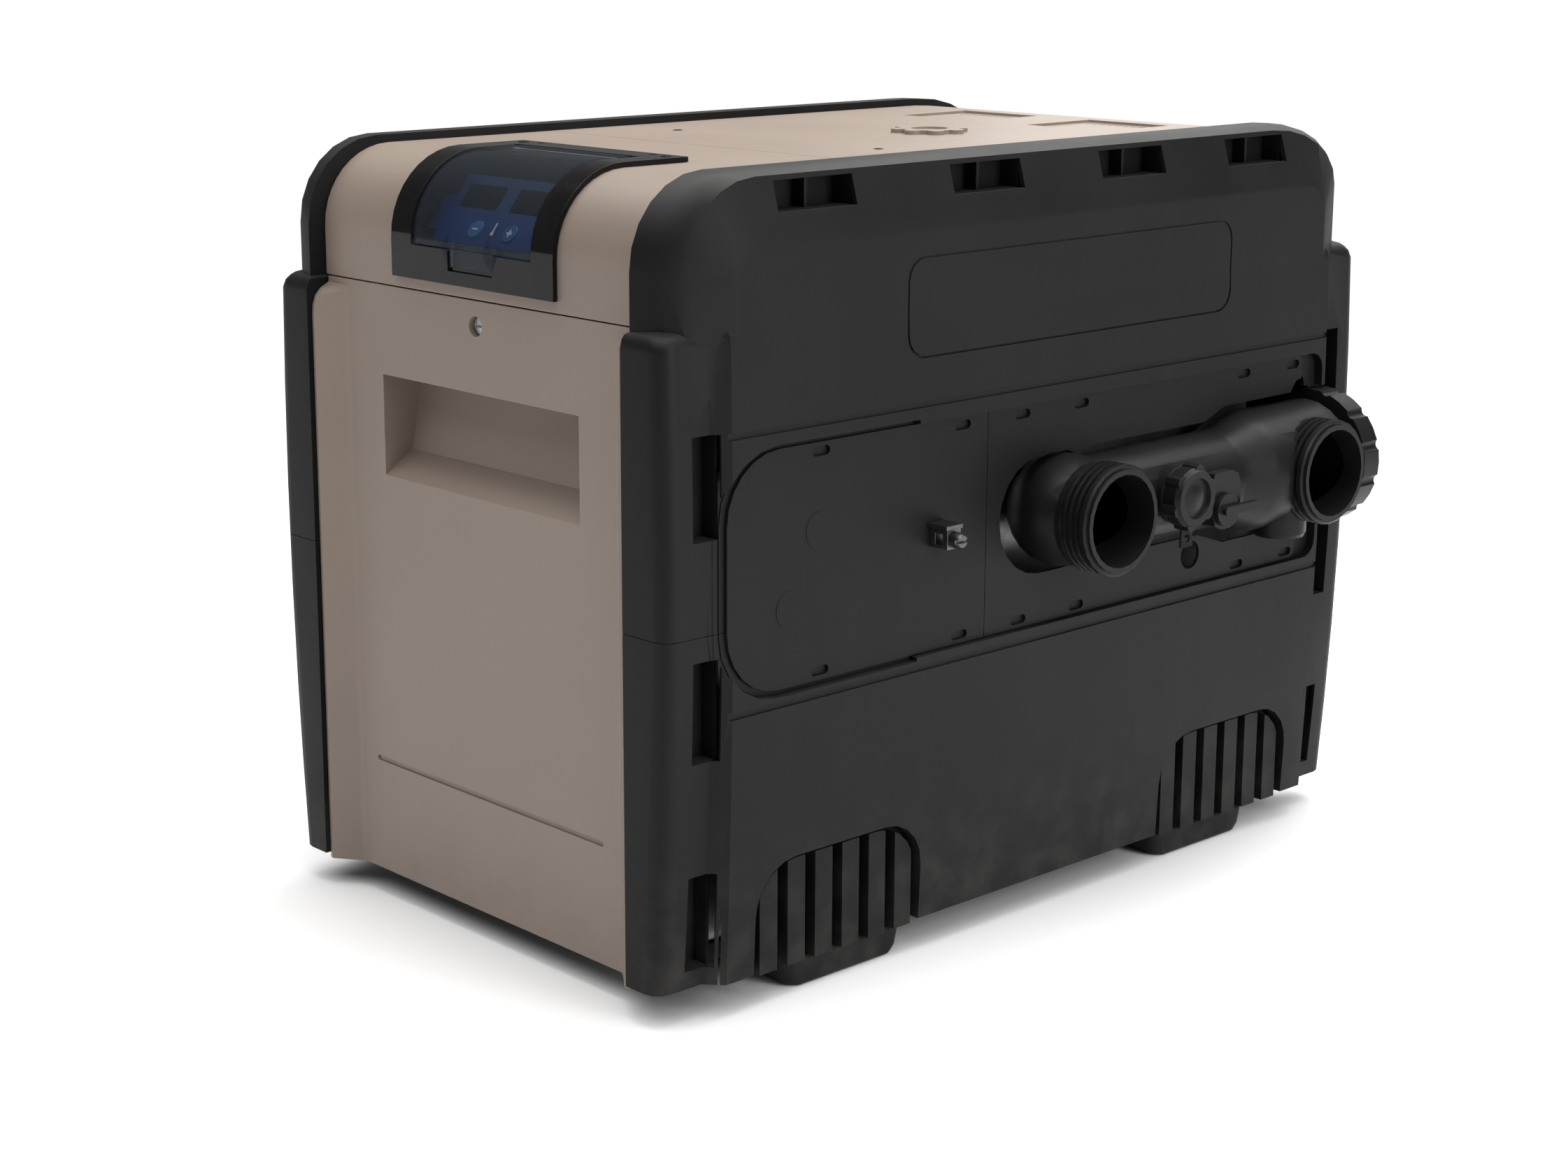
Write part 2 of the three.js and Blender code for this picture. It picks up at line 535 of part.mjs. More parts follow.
const flankTop = CABINET.seamZ - 5;
const flankLevels = [[DOOR.bottomZ, 1], [flankTop - 24, 1], [flankTop - 16, 0.96], [flankTop - 9, 0.8],
  [flankTop - 4, 0.5], [flankTop, 0.02], [CABINET.seamZ - 0.4, 0]];
let door = loft('z', flankLevels.map(([level, share]) => ({ level, outline: doorPlan(DOOR.flankRise * share) })));
const doorRibs = all(
  box(-DOOR.flatHalf, DOOR.flatHalf, FRONT_Y + 1, frameFront - GAP, CABINET.seamZ - 12, CABINET.seamZ - 9),
  box(-DOOR.flatHalf, DOOR.flatHalf, FRONT_Y + 1, frameFront - GAP, 42, 45));
door = all(door, doorRibs);
const pull = (grow) => {
  const [z0, z1] = [PULL.bottomZ - grow, PULL.topZ + grow];
  const back = [[FRONT_Y + PULL.depth + grow, z1], [FRONT_Y + PULL.lineDepth + grow, PULL.lineZ - grow]];
  const outline = grow > 0
    ? [[FRONT_Y + 1, z0], [FRONT_Y + 1, z1], ...back]
    : [[FRONT_Y - 30, z0], [FRONT_Y - 30, z1], ...back, [FRONT_Y, z0]];
  return prism('x', outline, -PULL.halfWidth - grow, PULL.halfWidth + grow);
};
door = cut(all(door, pull(2.6)), pull(0));
door = cut(door, rod('y', -390, FRONT_Y + 1, [0, LOCK.z], LOCK.bossR, { segments: 20 }));
door = all(door, rod('y', FRONT_Y + 1, FRONT_Y + LOCK.depth + 3, [0, LOCK.z], LOCK.bossR + 3, { segments: 20 }));
door = cut(door, rod('y', FRONT_Y - 9, FRONT_Y + LOCK.depth, [0, LOCK.z], LOCK.bossR, { segments: 20 }),
  rod('y', FRONT_Y - 9, FRONT_Y + 30, [0, LOCK.z], 3.4, { segments: 16 }));
door = cut(door, prism('y', rounded(-138, 138, 110, 114, [2, 2, 2, 2], 2), FRONT_Y - 5, FRONT_Y + 1.6));
piece('front_door', door, TAN);

const lockHead = FRONT_Y + 4;
const lock = all(
  rod('y', lockHead, FRONT_Y + LOCK.depth - GAP, [0, LOCK.z], 6.2, { segments: 16 }),
  rod('y', FRONT_Y + LOCK.depth - 1, FRONT_Y + 18, [0, LOCK.z], 3.2, { segments: 16 }));
piece('door_lock_screw', cut(lock, box(-5, 5, lockHead - 1, lockHead + 1.6, LOCK.z - 0.8, LOCK.z + 0.8)), STEEL);

// ---------------------------------------------------------------- hood and top

/** The hood's curve offset outwards from its surface, from the seam height over to a place on the top. */
function hoodCurve(offset, bottomZ, rearY, steps = 10) {
  const r = HOOD.frontR + offset;
  const centre = [FRONT_Y + HOOD.frontR, TOP_Z - HOOD.frontR];
  return [[FRONT_Y - offset, bottomZ], ...arc(...centre, r, r, 180, 90, steps), [rearY, TOP_Z + offset]];
}

const band = (outer, inner) => [...outer, ...inner.slice().reverse()];
const hoodBottom = CABINET.seamZ + 0.4;
let hood = prism('x', band(hoodCurve(0, hoodBottom, HOOD.seamY), hoodCurve(-HOOD.wall, hoodBottom, HOOD.seamY)),
  -HOOD.halfWidth, HOOD.halfWidth);
hood = all(hood,
  box(-HOOD.halfWidth, HOOD.halfWidth, HOOD.seamY - 3, HOOD.seamY, frameTop + GAP, TOP_Z - 1),
  box(-HOOD.halfWidth + 8, HOOD.halfWidth - 8, FRONT_Y + 1, frameFront - GAP, hoodBottom, hoodBottom + 3));
hood = cut(hood, box(-HOOD.openHalf, HOOD.openHalf, FRONT_Y - 17, LID.hingeY + 12, TOP_Z - 76, TOP_Z + 18));
const bezelScrews = [[-64, BEZEL.rearY - 7], [64, BEZEL.rearY - 7]];
piece('hood', hood, TAN);

const topProfile = (offset) => [
  [HOOD.seamY + 0.6, TOP_Z + offset],
  ...arc(REAR_Y + offset - 84, TOP_Z + offset - 46, 84, 46, 90, 0, 8),
  [REAR_Y + offset, CABINET.seamZ + 0.5],
];
let top = prism('x', band(topProfile(0), topProfile(-3)), -HOOD.halfWidth, HOOD.halfWidth);
top = all(top,
  box(-HOOD.halfWidth, HOOD.halfWidth, HOOD.seamY + 0.6, HOOD.seamY + 3.6, frameTop + GAP, TOP_Z - 1),
  box(-HOOD.halfWidth + 8, HOOD.halfWidth - 8, REAR_Y - 78, REAR_Y - 75, frameTop + GAP, TOP_Z - 1));
for (const sign of [-1, 1]) {
  const [x0, x1] = sign > 0 ? [29, 115] : [-115, -29];
  top = all(top, box(x0 - 2, x1 + 2, 185, 270, TOP_Z - 5, TOP_Z - 1));
  top = cut(top, box(x0, x1, 187, 268, TOP_Z - 2.4, TOP_Z + 5));
  for (let i = 0; i < 10; i += 1) {
    const x = x0 + 4.5 + i * 8.2;
    top = cut(top, box(x, x + 4.2, 255, 265, TOP_Z - 10, TOP_Z + 5));
  }
}
const bossAt = [29, 72];
const lobes = Array.from({ length: 8 }, (_, i) => {
  const angle = (i * Math.PI) / 4 + 0.2;
  return rod('z', TOP_Z - 1, TOP_Z + 3.5,
    [bossAt[0] + 25 * Math.cos(angle), bossAt[1] + 25 * Math.sin(angle)], 6.5, { segments: 12 });
});
top = all(top, rod('z', TOP_Z - 1, TOP_Z + 3.5, bossAt, 24), ...lobes);
top = cut(top, rod('z', TOP_Z + 1.5, TOP_Z + 8, bossAt, 15));
piece('top_panel', top, TAN);

// ---------------------------------------------------------------- control pod

const bezelBand = band(
  hoodCurve(BEZEL.proud, BEZEL.bottomZ, BEZEL.rearY), hoodCurve(GAP, BEZEL.bottomZ, BEZEL.rearY));
let bezel = prism('x', bezelBand, -BEZEL.halfWidth, BEZEL.halfWidth);
const lidRoom = LID.halfWidth + 0.8;
const lidGap = () => box(
  -lidRoom, lidRoom, FRONT_Y - 37, LID.hingeY + LID.swing, LID.bottomZ - 0.8, TOP_Z + 38);
const podFloorZ = TOP_Z - 75;
bezel = cut(bezel,
  lidGap(),
  box(-LID.finX - 2, LID.finX + 2, FRONT_Y - 37, FRONT_Y - 1.6, podFloorZ - 3, podFloorZ + 33));
const pod = (grow) => {
  const curve = hoodCurve(-1.2 - grow, podFloorZ + grow, LID.hingeY + 9 - grow, 8);
  const floor = [[LID.hingeY + 9 - grow, podFloorZ + 33 + grow], [FRONT_Y + 14, podFloorZ + grow]];
  return prism('x', [...curve, ...floor], -HOOD.openHalf + 0.6 + grow, HOOD.openHalf - 0.6 - grow);
};
const podShell = cut(pod(0), pod(2), lidGap());
const podLip = cut(
  prism('x', band(hoodCurve(GAP + 0.8, podFloorZ + 1, LID.hingeY + 9), hoodCurve(-2.4, podFloorZ + 1, LID.hingeY + 9)),
    -HOOD.openHalf + 0.6, HOOD.openHalf - 0.6),
  lidGap());
bezel = all(bezel, podShell, podLip);
bezel = cut(bezel, rod('x', -LID.halfWidth - 6.4, LID.halfWidth + 6.4, [LID.hingeY, LID.hingeZ], 1.26, { segments: 12 }));
for (const [x, y] of bezelScrews) {
  bezel = cut(bezel, rod('z', TOP_Z + 2.6, TOP_Z + 10, [x, y], 3.2, { segments: 12 }));
}
piece('control_bezel', bezel, GLOSS_BLACK);

/** Puts a solid made flat, with +Y up the slope and +Z out of the display, onto the display's slope. */
function onDisplay(makeGeometry) {
  const geometry = makeGeometry();
  geometry.rotateX(THREE.MathUtils.degToRad(DISPLAY.slope));
  geometry.translate(0, DISPLAY.frontY, DISPLAY.frontZ);
  return solid(geometry);
}
const flat = (x0, x1, a0, a1, h0, h1) => () => {
  const geometry = new THREE.BoxGeometry(x1 - x0, a1 - a0, h1 - h0);
  return geometry.translate((x0 + x1) / 2, (a0 + a1) / 2, (h0 + h1) / 2);
};
const disc = (x, a, r, h0, h1) => () => {
  const geometry = new THREE.CylinderGeometry(r, r, h1 - h0, 20);
  return geometry.rotateX(Math.PI / 2).translate(x, a, (h0 + h1) / 2);
};
const buttonX = [BUTTON.offset - BUTTON.spacing / 2, BUTTON.offset + BUTTON.spacing / 2];
const panelPlate = onDisplay(flat(-DISPLAY.halfWidth, DISPLAY.halfWidth, 0, DISPLAY.length, -DISPLAY.wall, 0));
const panelLegs = [-1, 1].map((s) => onDisplay(
  flat(s > 0 ? DISPLAY.halfWidth - 4 : -80.8, s > 0 ? 80.8 : -DISPLAY.halfWidth + 4, 10, 40, -DISPLAY.wall, -0.6)));
const buttonHoles = buttonX.map((x) => onDisplay(disc(x, BUTTON.along, BUTTON.radius + 0.35, -9, 9)));
piece('display_panel', cut(all(panelPlate, ...panelLegs), ...buttonHoles), finish(0x16324f, 0.25));
['minus_button', 'plus_button'].forEach((name, i) => {
  const stem = onDisplay(disc(buttonX[i], BUTTON.along, 2.2, -DISPLAY.wall - 2.2, -DISPLAY.wall + 0.5));
  const head = onDisplay(disc(buttonX[i], BUTTON.along, BUTTON.radius, -DISPLAY.wall, 0.9));
  piece(name, all(head, stem), finish(0x5f86ad, 0.35));
});
const switchDepth = -DISPLAY.wall - 2.2 - BUTTON.travel - 0.5;
const displayBoard = onDisplay(flat(-60, 60, 4, 54, switchDepth - 1.6, switchDepth));
const boardPosts = [-50, 50].map((x) => onDisplay(flat(x - 2, x + 2, 25, 31, switchDepth - 1, -DISPLAY.wall - GAP)));
piece('display_board', all(displayBoard, ...boardPosts), finish(0x1f5a36, 0.5));

const lidCurveOuter = hoodCurve(BEZEL.proud + 0.2, LID.bottomZ, LID.hingeY, 12);
const lidCurveInner = hoodCurve(BEZEL.proud + 0.2 - LID.wall, LID.bottomZ, LID.hingeY, 12);
const knuckle = rod('x', -LID.halfWidth, LID.halfWidth, [LID.hingeY, LID.hingeZ], 2.9, { segments: 16 });
const knuckleGaps = [-1, 1].map((s) => box(
  s > 0 ? LID.halfWidth - 8 : -LID.halfWidth - 1, s > 0 ? LID.halfWidth + 1 : -LID.halfWidth + 8,
  LID.hingeY - 3.2, LID.hingeY + 4, 570, 600));
const pinHole = rod('x', -80, 80, [LID.hingeY, LID.hingeZ], 1.25, { segments: 12 });
const lidFins = [-1, 1].map((s) => prism('x', [
  [FRONT_Y - BEZEL.proud - 0.2 + 1, 533], [FRONT_Y - BEZEL.proud - 7, 521],
  [FRONT_Y - BEZEL.proud - 1, 507], [FRONT_Y - BEZEL.proud - 0.2 + 1, 507],
], s * LID.finX - 1, s * LID.finX + 1));
const tab = box(-LID.finX - 1, LID.finX + 1, FRONT_Y - BEZEL.proud - 0.2, FRONT_Y - BEZEL.proud + 1.4, 507, LID.bottomZ + 2);
const lidShell = prism('x', band(lidCurveOuter, lidCurveInner), -LID.halfWidth, LID.halfWidth);
piece('display_lid', cut(all(lidShell, knuckle, ...lidFins, tab), ...knuckleGaps, pinHole), finish(0x30343a, 0.05));
piece('lid_hinge_pin', rod('x', -LID.halfWidth - 6, LID.halfWidth + 6, [LID.hingeY, LID.hingeZ], 1.2, { segments: 12 }), STEEL);

// ---------------------------------------------------------------- water header

const headerAt = [HEADER.x, HEADER.z];
const alongHeader = (from, to, r, segments = 24) => rod('y', from, to, headerAt, r, { segments });

/** One union: a neck, a collar, a coarse thread and a face with a raised inner lip. */
function union(y) {
  const { r, threadX, faceX, crests } = UNION;
  const root = r - 3.4;
  const pitch = (faceX - 4 - threadX) / crests;
  const profile = [[0, HEADER.x], [r - 5, HEADER.x], [r - 5, threadX - 7], [r - 2, threadX - 6], [r - 2, threadX - 1]];
  for (let i = 0; i < crests; i += 1) {
    const x = threadX + i * pitch;
    profile.push([root, x], [r, x + pitch * 0.4], [r, x + pitch * 0.75]);
  }
  profile.push([r, faceX - 3.5], [r - 1.6, faceX - 2.2], [root, faceX - 2.2], [root, faceX], [0, faceX]);
  const flatRoom = [-1, 1].map((s) => box(threadX - 0.5, faceX - 8,
    y + (s > 0 ? r - 1.9 : -r - 3), y + (s > 0 ? r + 3 : -r + 1.9), HEADER.z - 14, HEADER.z + 14));
  return cut(turned('x', profile, [y, HEADER.z], 24), ...flatRoom);
}

const tee = turned('y', [
  [0, 181], [HEADER.r - 0.5, 181], [HEADER.r + 1.5, 193], [HEADER.teeR - 2.5, 212], [HEADER.teeR, 224],
  [HEADER.teeR, HEADER.endY - 2], [HEADER.teeR - 2, HEADER.endY], [0, HEADER.endY],
], headerAt, 24);
const ports = PORT.ys.map((y) => rod('x', PORT.innerX, HEADER.x, [y, HEADER.z], PORT.r, { segments: 24 }));
const capBoss = all(
  rod('x', HEADER.x, CAP.x - 2.9, [CAP.y, CAP.z], CAP.bossR + 4, { segments: 20 }),
  rod('x', HEADER.x, CAP.x + 9, [CAP.y, CAP.z], CAP.bossR, { segments: 20 }));
const wingPad = prism('x', rounded(WING.y - 14, WING.y + 20, WING.z - 16, WING.z + 30, [12, 3, 12, 12], 2),
  HEADER.x, WING.x - 4);
const stub = all(
  rod('z', 264, HEADER.z, [HEADER.x + 18, 256], 22, { segments: 20 }),
  rod('z', 261, 264.5, [HEADER.x + 18, 256], 20.5, { endR: 22, segments: 20 }));
const partitionY = 148;
const waterway = all(
  alongHeader(UNION.ys[0], 340, HEADER.r - HEADER.wall),
  ball(HEADER.x, UNION.ys[0], HEADER.z, HEADER.r - HEADER.wall, 14),
  alongHeader(226, 340, HEADER.teeR - 8),
  ...UNION.ys.map((y) => rod('x', HEADER.x, 300, [y, HEADER.z], UNION.boreR, { segments: 24 })),
  ...PORT.ys.map((y) => rod('x', 160, HEADER.x, [y, HEADER.z], PORT.r - 6, { segments: 24 })));
const headerOuter = all(
  ball(HEADER.x, UNION.ys[0], HEADER.z, HEADER.elbowR, 20), alongHeader(UNION.ys[0], 183, HEADER.r), tee,
  alongHeader(HEADER.endY - 1, HEADER.mouthY, HEADER.spigotR), ...UNION.ys.map(union), ...ports,
  capBoss, wingPad, stub);
const partition = cut(
  alongHeader(partitionY - 2, partitionY + 2, HEADER.r - 3), alongHeader(partitionY - 5, partitionY + 5, 15, 20));
const wingBore = rod('x', WING.x - 14, WING.x, [WING.y, WING.z], 9, { segments: 20 });
piece('header_body', cut(all(cut(headerOuter, waterway), partition), wingBore), PIPE_BLACK);

const sealY = HEADER.mouthY + GAP;
piece('header_end_seal', cut(
  alongHeader(sealY, sealY + 2, HEADER.spigotR - 0.5), alongHeader(sealY - 1, sealY + 3, HEADER.spigotR - 3.4)), RUBBER);
const plugY = sealY + 2 + GAP;
piece('header_end_plug', all(
  alongHeader(plugY, plugY + 3.2, HEADER.spigotR - 0.2), alongHeader(plugY + 3, plugY + 7, HEADER.spigotR - 6.6),
  alongHeader(plugY - 12, plugY + 1, HEADER.spigotR - 4)), PIPE_BLACK);
const nutNotches = Array.from({ length: NUT.lobes }, (_, i) => {
  const angle = ((i + 0.5) * 2 * Math.PI) / NUT.lobes;
  return rod('y', NUT.front - 1, NUT.rear + 1,
    [HEADER.x + (NUT.r + 2.6) * Math.cos(angle), HEADER.z + (NUT.r + 2.6) * Math.sin(angle)], 5, { segments: 12 });
});
piece('header_end_nut', cut(
  alongHeader(NUT.front, NUT.rear, NUT.r, 36), alongHeader(NUT.front - 1, plugY + 3.5, HEADER.spigotR + 0.4),
  alongHeader(plugY, NUT.rear + 1, HEADER.spigotR - 6.2), ...nutNotches), PIPE_BLACK);

const poppetY = partitionY + 2 + GAP;
piece('bypass_poppet', all(
  alongHeader(poppetY, poppetY + 4, 19, 24), alongHeader(poppetY + 3, 212, 3.5, 16)), finish(0xcfcac0, 0.5));
const seatY = 205;
const seatHoles = [0, 1, 2, 3].map((i) => {
  const angle = (i * Math.PI) / 2 + Math.PI / 4;
  return rod('y', seatY - 1, seatY + 5,
    [HEADER.x + 23 * Math.cos(angle), HEADER.z + 23 * Math.sin(angle)], 8, { segments: 12 });
});
piece('bypass_seat', cut(
  alongHeader(seatY, seatY + 4, HEADER.r - HEADER.wall - 0.5), alongHeader(seatY - 1, seatY + 5, 3.9, 16),
  ...seatHoles), finish(0xcfcac0, 0.5));

const capLobes = Array.from({ length: 6 }, (_, i) => {
  const angle = (i * Math.PI) / 3 + 0.35;
  const at = [CAP.y + (CAP.r - 4) * Math.cos(angle), CAP.z + (CAP.r - 4) * Math.sin(angle)];
  return rod('x', CAP.x, CAP.x + CAP.length - 2, at, 5.4, { segments: 8 });
});
const capFace = CAP.x + CAP.length;
const capBody = turned('x', [
  [0, CAP.x], [CAP.r - 2, CAP.x], [CAP.r - 1.5, capFace - 4], [CAP.r - 4, capFace], [CAP.r - 9, capFace],
  [CAP.r - 10, capFace - 3], [12, capFace - 3], [8, capFace - 1], [0, capFace - 0.4],
], [CAP.y, CAP.z], 24);
piece('drain_cap', cut(all(capBody, ...capLobes),
  rod('x', CAP.x - 1, CAP.x + 9.4, [CAP.y, CAP.z], CAP.bossR + 0.4, { segments: 20 })), PIPE_BLACK);
const strapX = CAP.x - 2.6;
const strap = all(
  rod('x', strapX, strapX + 2.2, [CAP.y, CAP.z], CAP.bossR + 5, { segments: 20 }),
  box(strapX, strapX + 2.2, CAP.y + 2, CAP.y + 16, CAP.z - 42, CAP.z - 12));
piece('cap_strap', cut(strap, rod('x', 200, 300, [CAP.y, CAP.z], CAP.bossR + 0.4, { segments: 20 }),
  rod('x', 200, 300, [CAP.y + 9, CAP.z - 35], 3.4, { segments: 12 })), RUBBER);

const wingX = WING.x - 4 + GAP;
piece('wing_plug', all(
  rod('x', WING.x - 13, wingX + 1, [WING.y, WING.z], 8.6, { segments: 20 }),
  rod('x', wingX, wingX + 4, [WING.y, WING.z], WING.r, { segments: 24 }),
  prism('x', rounded(WING.y - 8, WING.y + 36, WING.z - 3.5, WING.z + 3.5, [3.4, 3.4, 3.4, 3.4], 3),
    wingX + 3, wingX + 8)), PIPE_BLACK);

// ---------------------------------------------------------------- heat exchanger and fire

const HX = { x: 120, front: 32, rear: 288, bottomZ: 268, topZ: 360, wall: 4, tubes: 6, tubeR: 12, tubeWall: 2.5 };
const boxRear = PORT.innerX - GAP - 0.1;
const tubeYs = Array.from({ length: HX.tubes }, (_, i) => 56 + i * 41.6);
const hxBox = (x0, x1) => box(x0, x1, HX.front, HX.rear, HX.bottomZ, HX.topZ);
const hxRoom = (x0, x1) => box(
  x0, x1, HX.front + HX.wall, HX.rear - HX.wall, HX.bottomZ + HX.wall, HX.topZ - HX.wall);
piece('inlet_outlet_box', all(
  cut(hxBox(HX.x + GAP, boxRear), hxRoom(HX.x - 1, boxRear - HX.wall),
    ...PORT.ys.map((y) => rod('x', 150, 180, [y, HEADER.z], PORT.r - 6, { segments: 24 }))),
  box(HX.x + GAP, boxRear - 1, 158, 162, HX.bottomZ + 1, HX.topZ - 1)), PIPE_BLACK);
piece('return_box', cut(hxBox(-boxRear, -HX.x - GAP), hxRoom(-boxRear + HX.wall, -HX.x + 1)), PIPE_BLACK);
const tubes = tubeYs.map((y) => rod('x', -HX.x, HX.x, [y, HEADER.z], HX.tubeR, { segments: 10 }));
const tubeBores = tubeYs.map((y) => rod('x', -HX.x - 1, HX.x + 1, [y, HEADER.z], HX.tubeR - HX.tubeWall, { segments: 8 }));
const fins = [];
for (let i = 1; i <= 2; i += 1) {
  const x = -HX.x + (i * 2 * HX.x) / 3;
  fins.push(box(x - 1, x + 1, HX.front + 6, HX.rear - 6, HX.bottomZ + 14, HX.topZ - 14));
}
const tubeSheets = [box(-HX.x, -HX.x + 5, HX.front, HX.rear, HX.bottomZ, HX.topZ),
  box(HX.x - 5, HX.x, HX.front, HX.rear, HX.bottomZ, HX.topZ)];
piece('tube_bundle', cut(all(...tubeSheets, ...tubes, ...fins), ...tubeBores), COPPER);

const floor = panTop + GAP;
const NECK = { x: -30, z: 98, r: 24 };
const chamber = cut(
  box(-HX.x, HX.x, HX.front, HX.rear, floor, HX.bottomZ - GAP),
  box(-HX.x + 12, HX.x - 12, HX.front + 12, HX.rear - 12, floor + 12, HX.bottomZ + 1));
piece('combustion_chamber', cut(chamber,
  rod('y', HX.front - 1, HX.front + 13, [NECK.x, NECK.z], NECK.r + GAP, { segments: 24 }),
  rod('y', HX.front - 1, HX.front + 13, [50, 150], 4.4, { segments: 12 })), STEEL);
piece('burner_drum', all(
  rod('x', -95, 95, [160, NECK.z], 32, { segments: 24 }),
  rod('y', -4.6, 150, [NECK.x, NECK.z], NECK.r, { segments: 24 }),
  box(NECK.x - 35, NECK.x + 35, -4.6, -1.6, 70, 126)), STEEL);
piece('igniter', all(
  rod('y', 4, HX.front - GAP, [50, 150], 9, { segments: 16 }),
  rod('y', 20, 105, [50, 150], 4, { segments: 12 })), finish(0xd8d2c6, 0.7));
const duct = [184, 272];
piece('flue_collector', cut(
  all(box(-HX.x + 2, HX.x - 2, HX.front, HX.rear, HX.topZ + GAP, 432),
    box(-HX.x + 2, HX.x - 2, ...duct, 430, TOP_Z - 5 - GAP)),
  box(-HX.x + 4, HX.x - 4, HX.front + 2, HX.rear - 2, HX.topZ - 1, 430),
  box(-HX.x + 4, HX.x - 4, duct[0] + 2, duct[1] - 2, 420, 600)), STEEL);

// ---------------------------------------------------------------- blower and gas train

const FAN = { x0: -65, x1: 5, y: -110, z: 150, r: 80, wheelR: 58, shaftR: 4 };
const fanAt = [FAN.y, FAN.z];
const housing = all(
  rod('x', FAN.x0, FAN.x1, fanAt, FAN.r, { segments: 32 }),
  box(FAN.x0, FAN.x1, FAN.y, -5, 70, 126),
  box(FAN.x0 + 5, FAN.x1 - 5, FAN.y - 45, FAN.y + 45, floor, 80));
piece('blower_housing', cut(housing,
  rod('x', FAN.x0 + 3, FAN.x1 - 3, fanAt, FAN.r - 3, { segments: 32 }),
  box(FAN.x0 + 3, FAN.x1 - 3, FAN.y, 0, 73, 123),
  rod('x', FAN.x0 - 1, FAN.x0 + 5, fanAt, 38, { segments: 24 }),
  rod('x', FAN.x1 - 5, FAN.x1 + 1, fanAt, 9, { segments: 16 }),
  box(FAN.x0 + 8, FAN.x1 - 8, FAN.y - 42, FAN.y + 42, floor - 1, 66)), finish(0x3a3d40, 0.5, 0.4));
const blades = Array.from({ length: 14 }, (_, i) => {
  const geometry = new THREE.BoxGeometry(44, 14, 1.6);
  geometry.rotateX(0.5).translate(0, FAN.wheelR - 9, 0).rotateX((i * 2 * Math.PI) / 14);
  return solid(geometry.translate(-32, FAN.y, FAN.z));
});
const shaftBore = (FAN.shaftR + 0.03) / Math.cos(Math.PI / 32);
const wheelRing = cut(rod('x', -56, -52, fanAt, FAN.wheelR, { segments: 28 }), rod('x', -60, -50, fanAt, 42, { segments: 28 }));
piece('blower_wheel', all(
  rod('x', -12, -9, fanAt, FAN.wheelR, { segments: 28 }), wheelRing, ...blades,
  rod('x', -24, -9, fanAt, 12, { segments: 20 }), rod('x', -20, 30, fanAt, FAN.shaftR, { segments: 32 })), STEEL);
piece('blower_motor', cut(
  all(rod('x', FAN.x1 + GAP, 66, fanAt, 40, { segments: 28 }), rod('x', 60, 74, fanAt, 18, { segments: 20 })),
  rod('x', 0, 34, fanAt, shaftBore, { segments: 32 })), finish(0x2e3134, 0.45, 0.3));

const VALVE = { x0: -170, x1: -120, y0: -145, y1: -75, z0: 122, z1: 178, pipeX: -145 };
piece('gas_valve', all(
  box(VALVE.x0, VALVE.x1, VALVE.y0, VALVE.y1, VALVE.z0, VALVE.z1),
  rod('z', VALVE.z1 - 1, VALVE.z1 + 12, [-150, -110], 13, { segments: 20 }),
  box(-160, -130, -130, -90, floor, VALVE.z0 + 1)), finish(0x8a8d90, 0.45, 0.7));
const knobAt = [VALVE.pipeX, 150];
piece('gas_valve_knob', all(
  rod('y', VALVE.y0 - 12, VALVE.y0 - GAP, knobAt, 11, { segments: 20 }),
  box(knobAt[0] - 2.5, knobAt[0] + 2.5, VALVE.y0 - 18, VALVE.y0 - 11, 140, 160)), finish(0xb23a2a, 0.5));
piece('gas_pipe', cut(
  rod('y', VALVE.y1 + GAP, REAR_Y + 16, knobAt, 10.5, { segments: 20 }),
  rod('y', VALVE.y1 - 1, REAR_Y + 20, knobAt, 7.5, { segments: 20 })), ZINC);
piece('gas_feed_tube', cut(
  rod('x', VALVE.x1 + GAP, FAN.x0 + 1, fanAt, 9, { segments: 20 }),
  rod('x', VALVE.x1 - 1, FAN.x0 + 4, fanAt, 7, { segments: 20 })), COPPER);

// ---------------------------------------------------------------- controls behind the door

const PANEL_Y = -290;
const panelHalf = frameX - SHEET - GAP;
piece('equipment_panel', box(-panelHalf, panelHalf, PANEL_Y - 2, PANEL_Y, floor, 460), STEEL);
const mountY = PANEL_Y - 2 - GAP;
const standoffs = [[-90, 312], [90, 312], [-90, 418], [90, 418]].map(
  ([x, z]) => rod('y', mountY - 7, mountY, [x, z], 3, { segments: 10 }));
piece('control_board', all(
  box(-100, 100, mountY - 8.6, mountY - 7, 300, 430), ...standoffs,
  box(-80, -50, mountY - 24, mountY - 8, 320, 345), box(-40, -10, mountY - 24, mountY - 8, 320, 345),
  box(20, 80, mountY - 20, mountY - 8, 315, 330), box(10, 60, mountY - 12, mountY - 8, 360, 400)),
finish(0x1f5a36, 0.5));
piece('transformer', all(
  box(90, 150, mountY - 34, mountY, 200, 250), box(84, 156, mountY - 3, mountY, 210, 240),
  box(100, 140, mountY - 42, mountY - 33, 206, 244)), finish(0x4a4038, 0.5, 0.3));
piece('pressure_switch', all(
  rod('y', mountY - 26, mountY, [-110, 220], 27, { segments: 24 }),
  rod('z', 244, 262, [-110, mountY - 12], 4, { segments: 12 })), finish(0x2a2c2e, 0.4));

export default group;
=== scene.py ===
"""Looks of a pool heater cabinet: moulded sides, tan panels, a control pod and a water header.

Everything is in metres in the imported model's own frame: +Z up, -Y out of the door, +X out of the
header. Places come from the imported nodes' boxes and from a few driving sizes named below.
"""

import json
import logging
import math
from dataclasses import dataclass, field
from enum import Enum
from typing import Optional, Sequence, Union

import bmesh
import bpy
from mathutils import Matrix, Vector

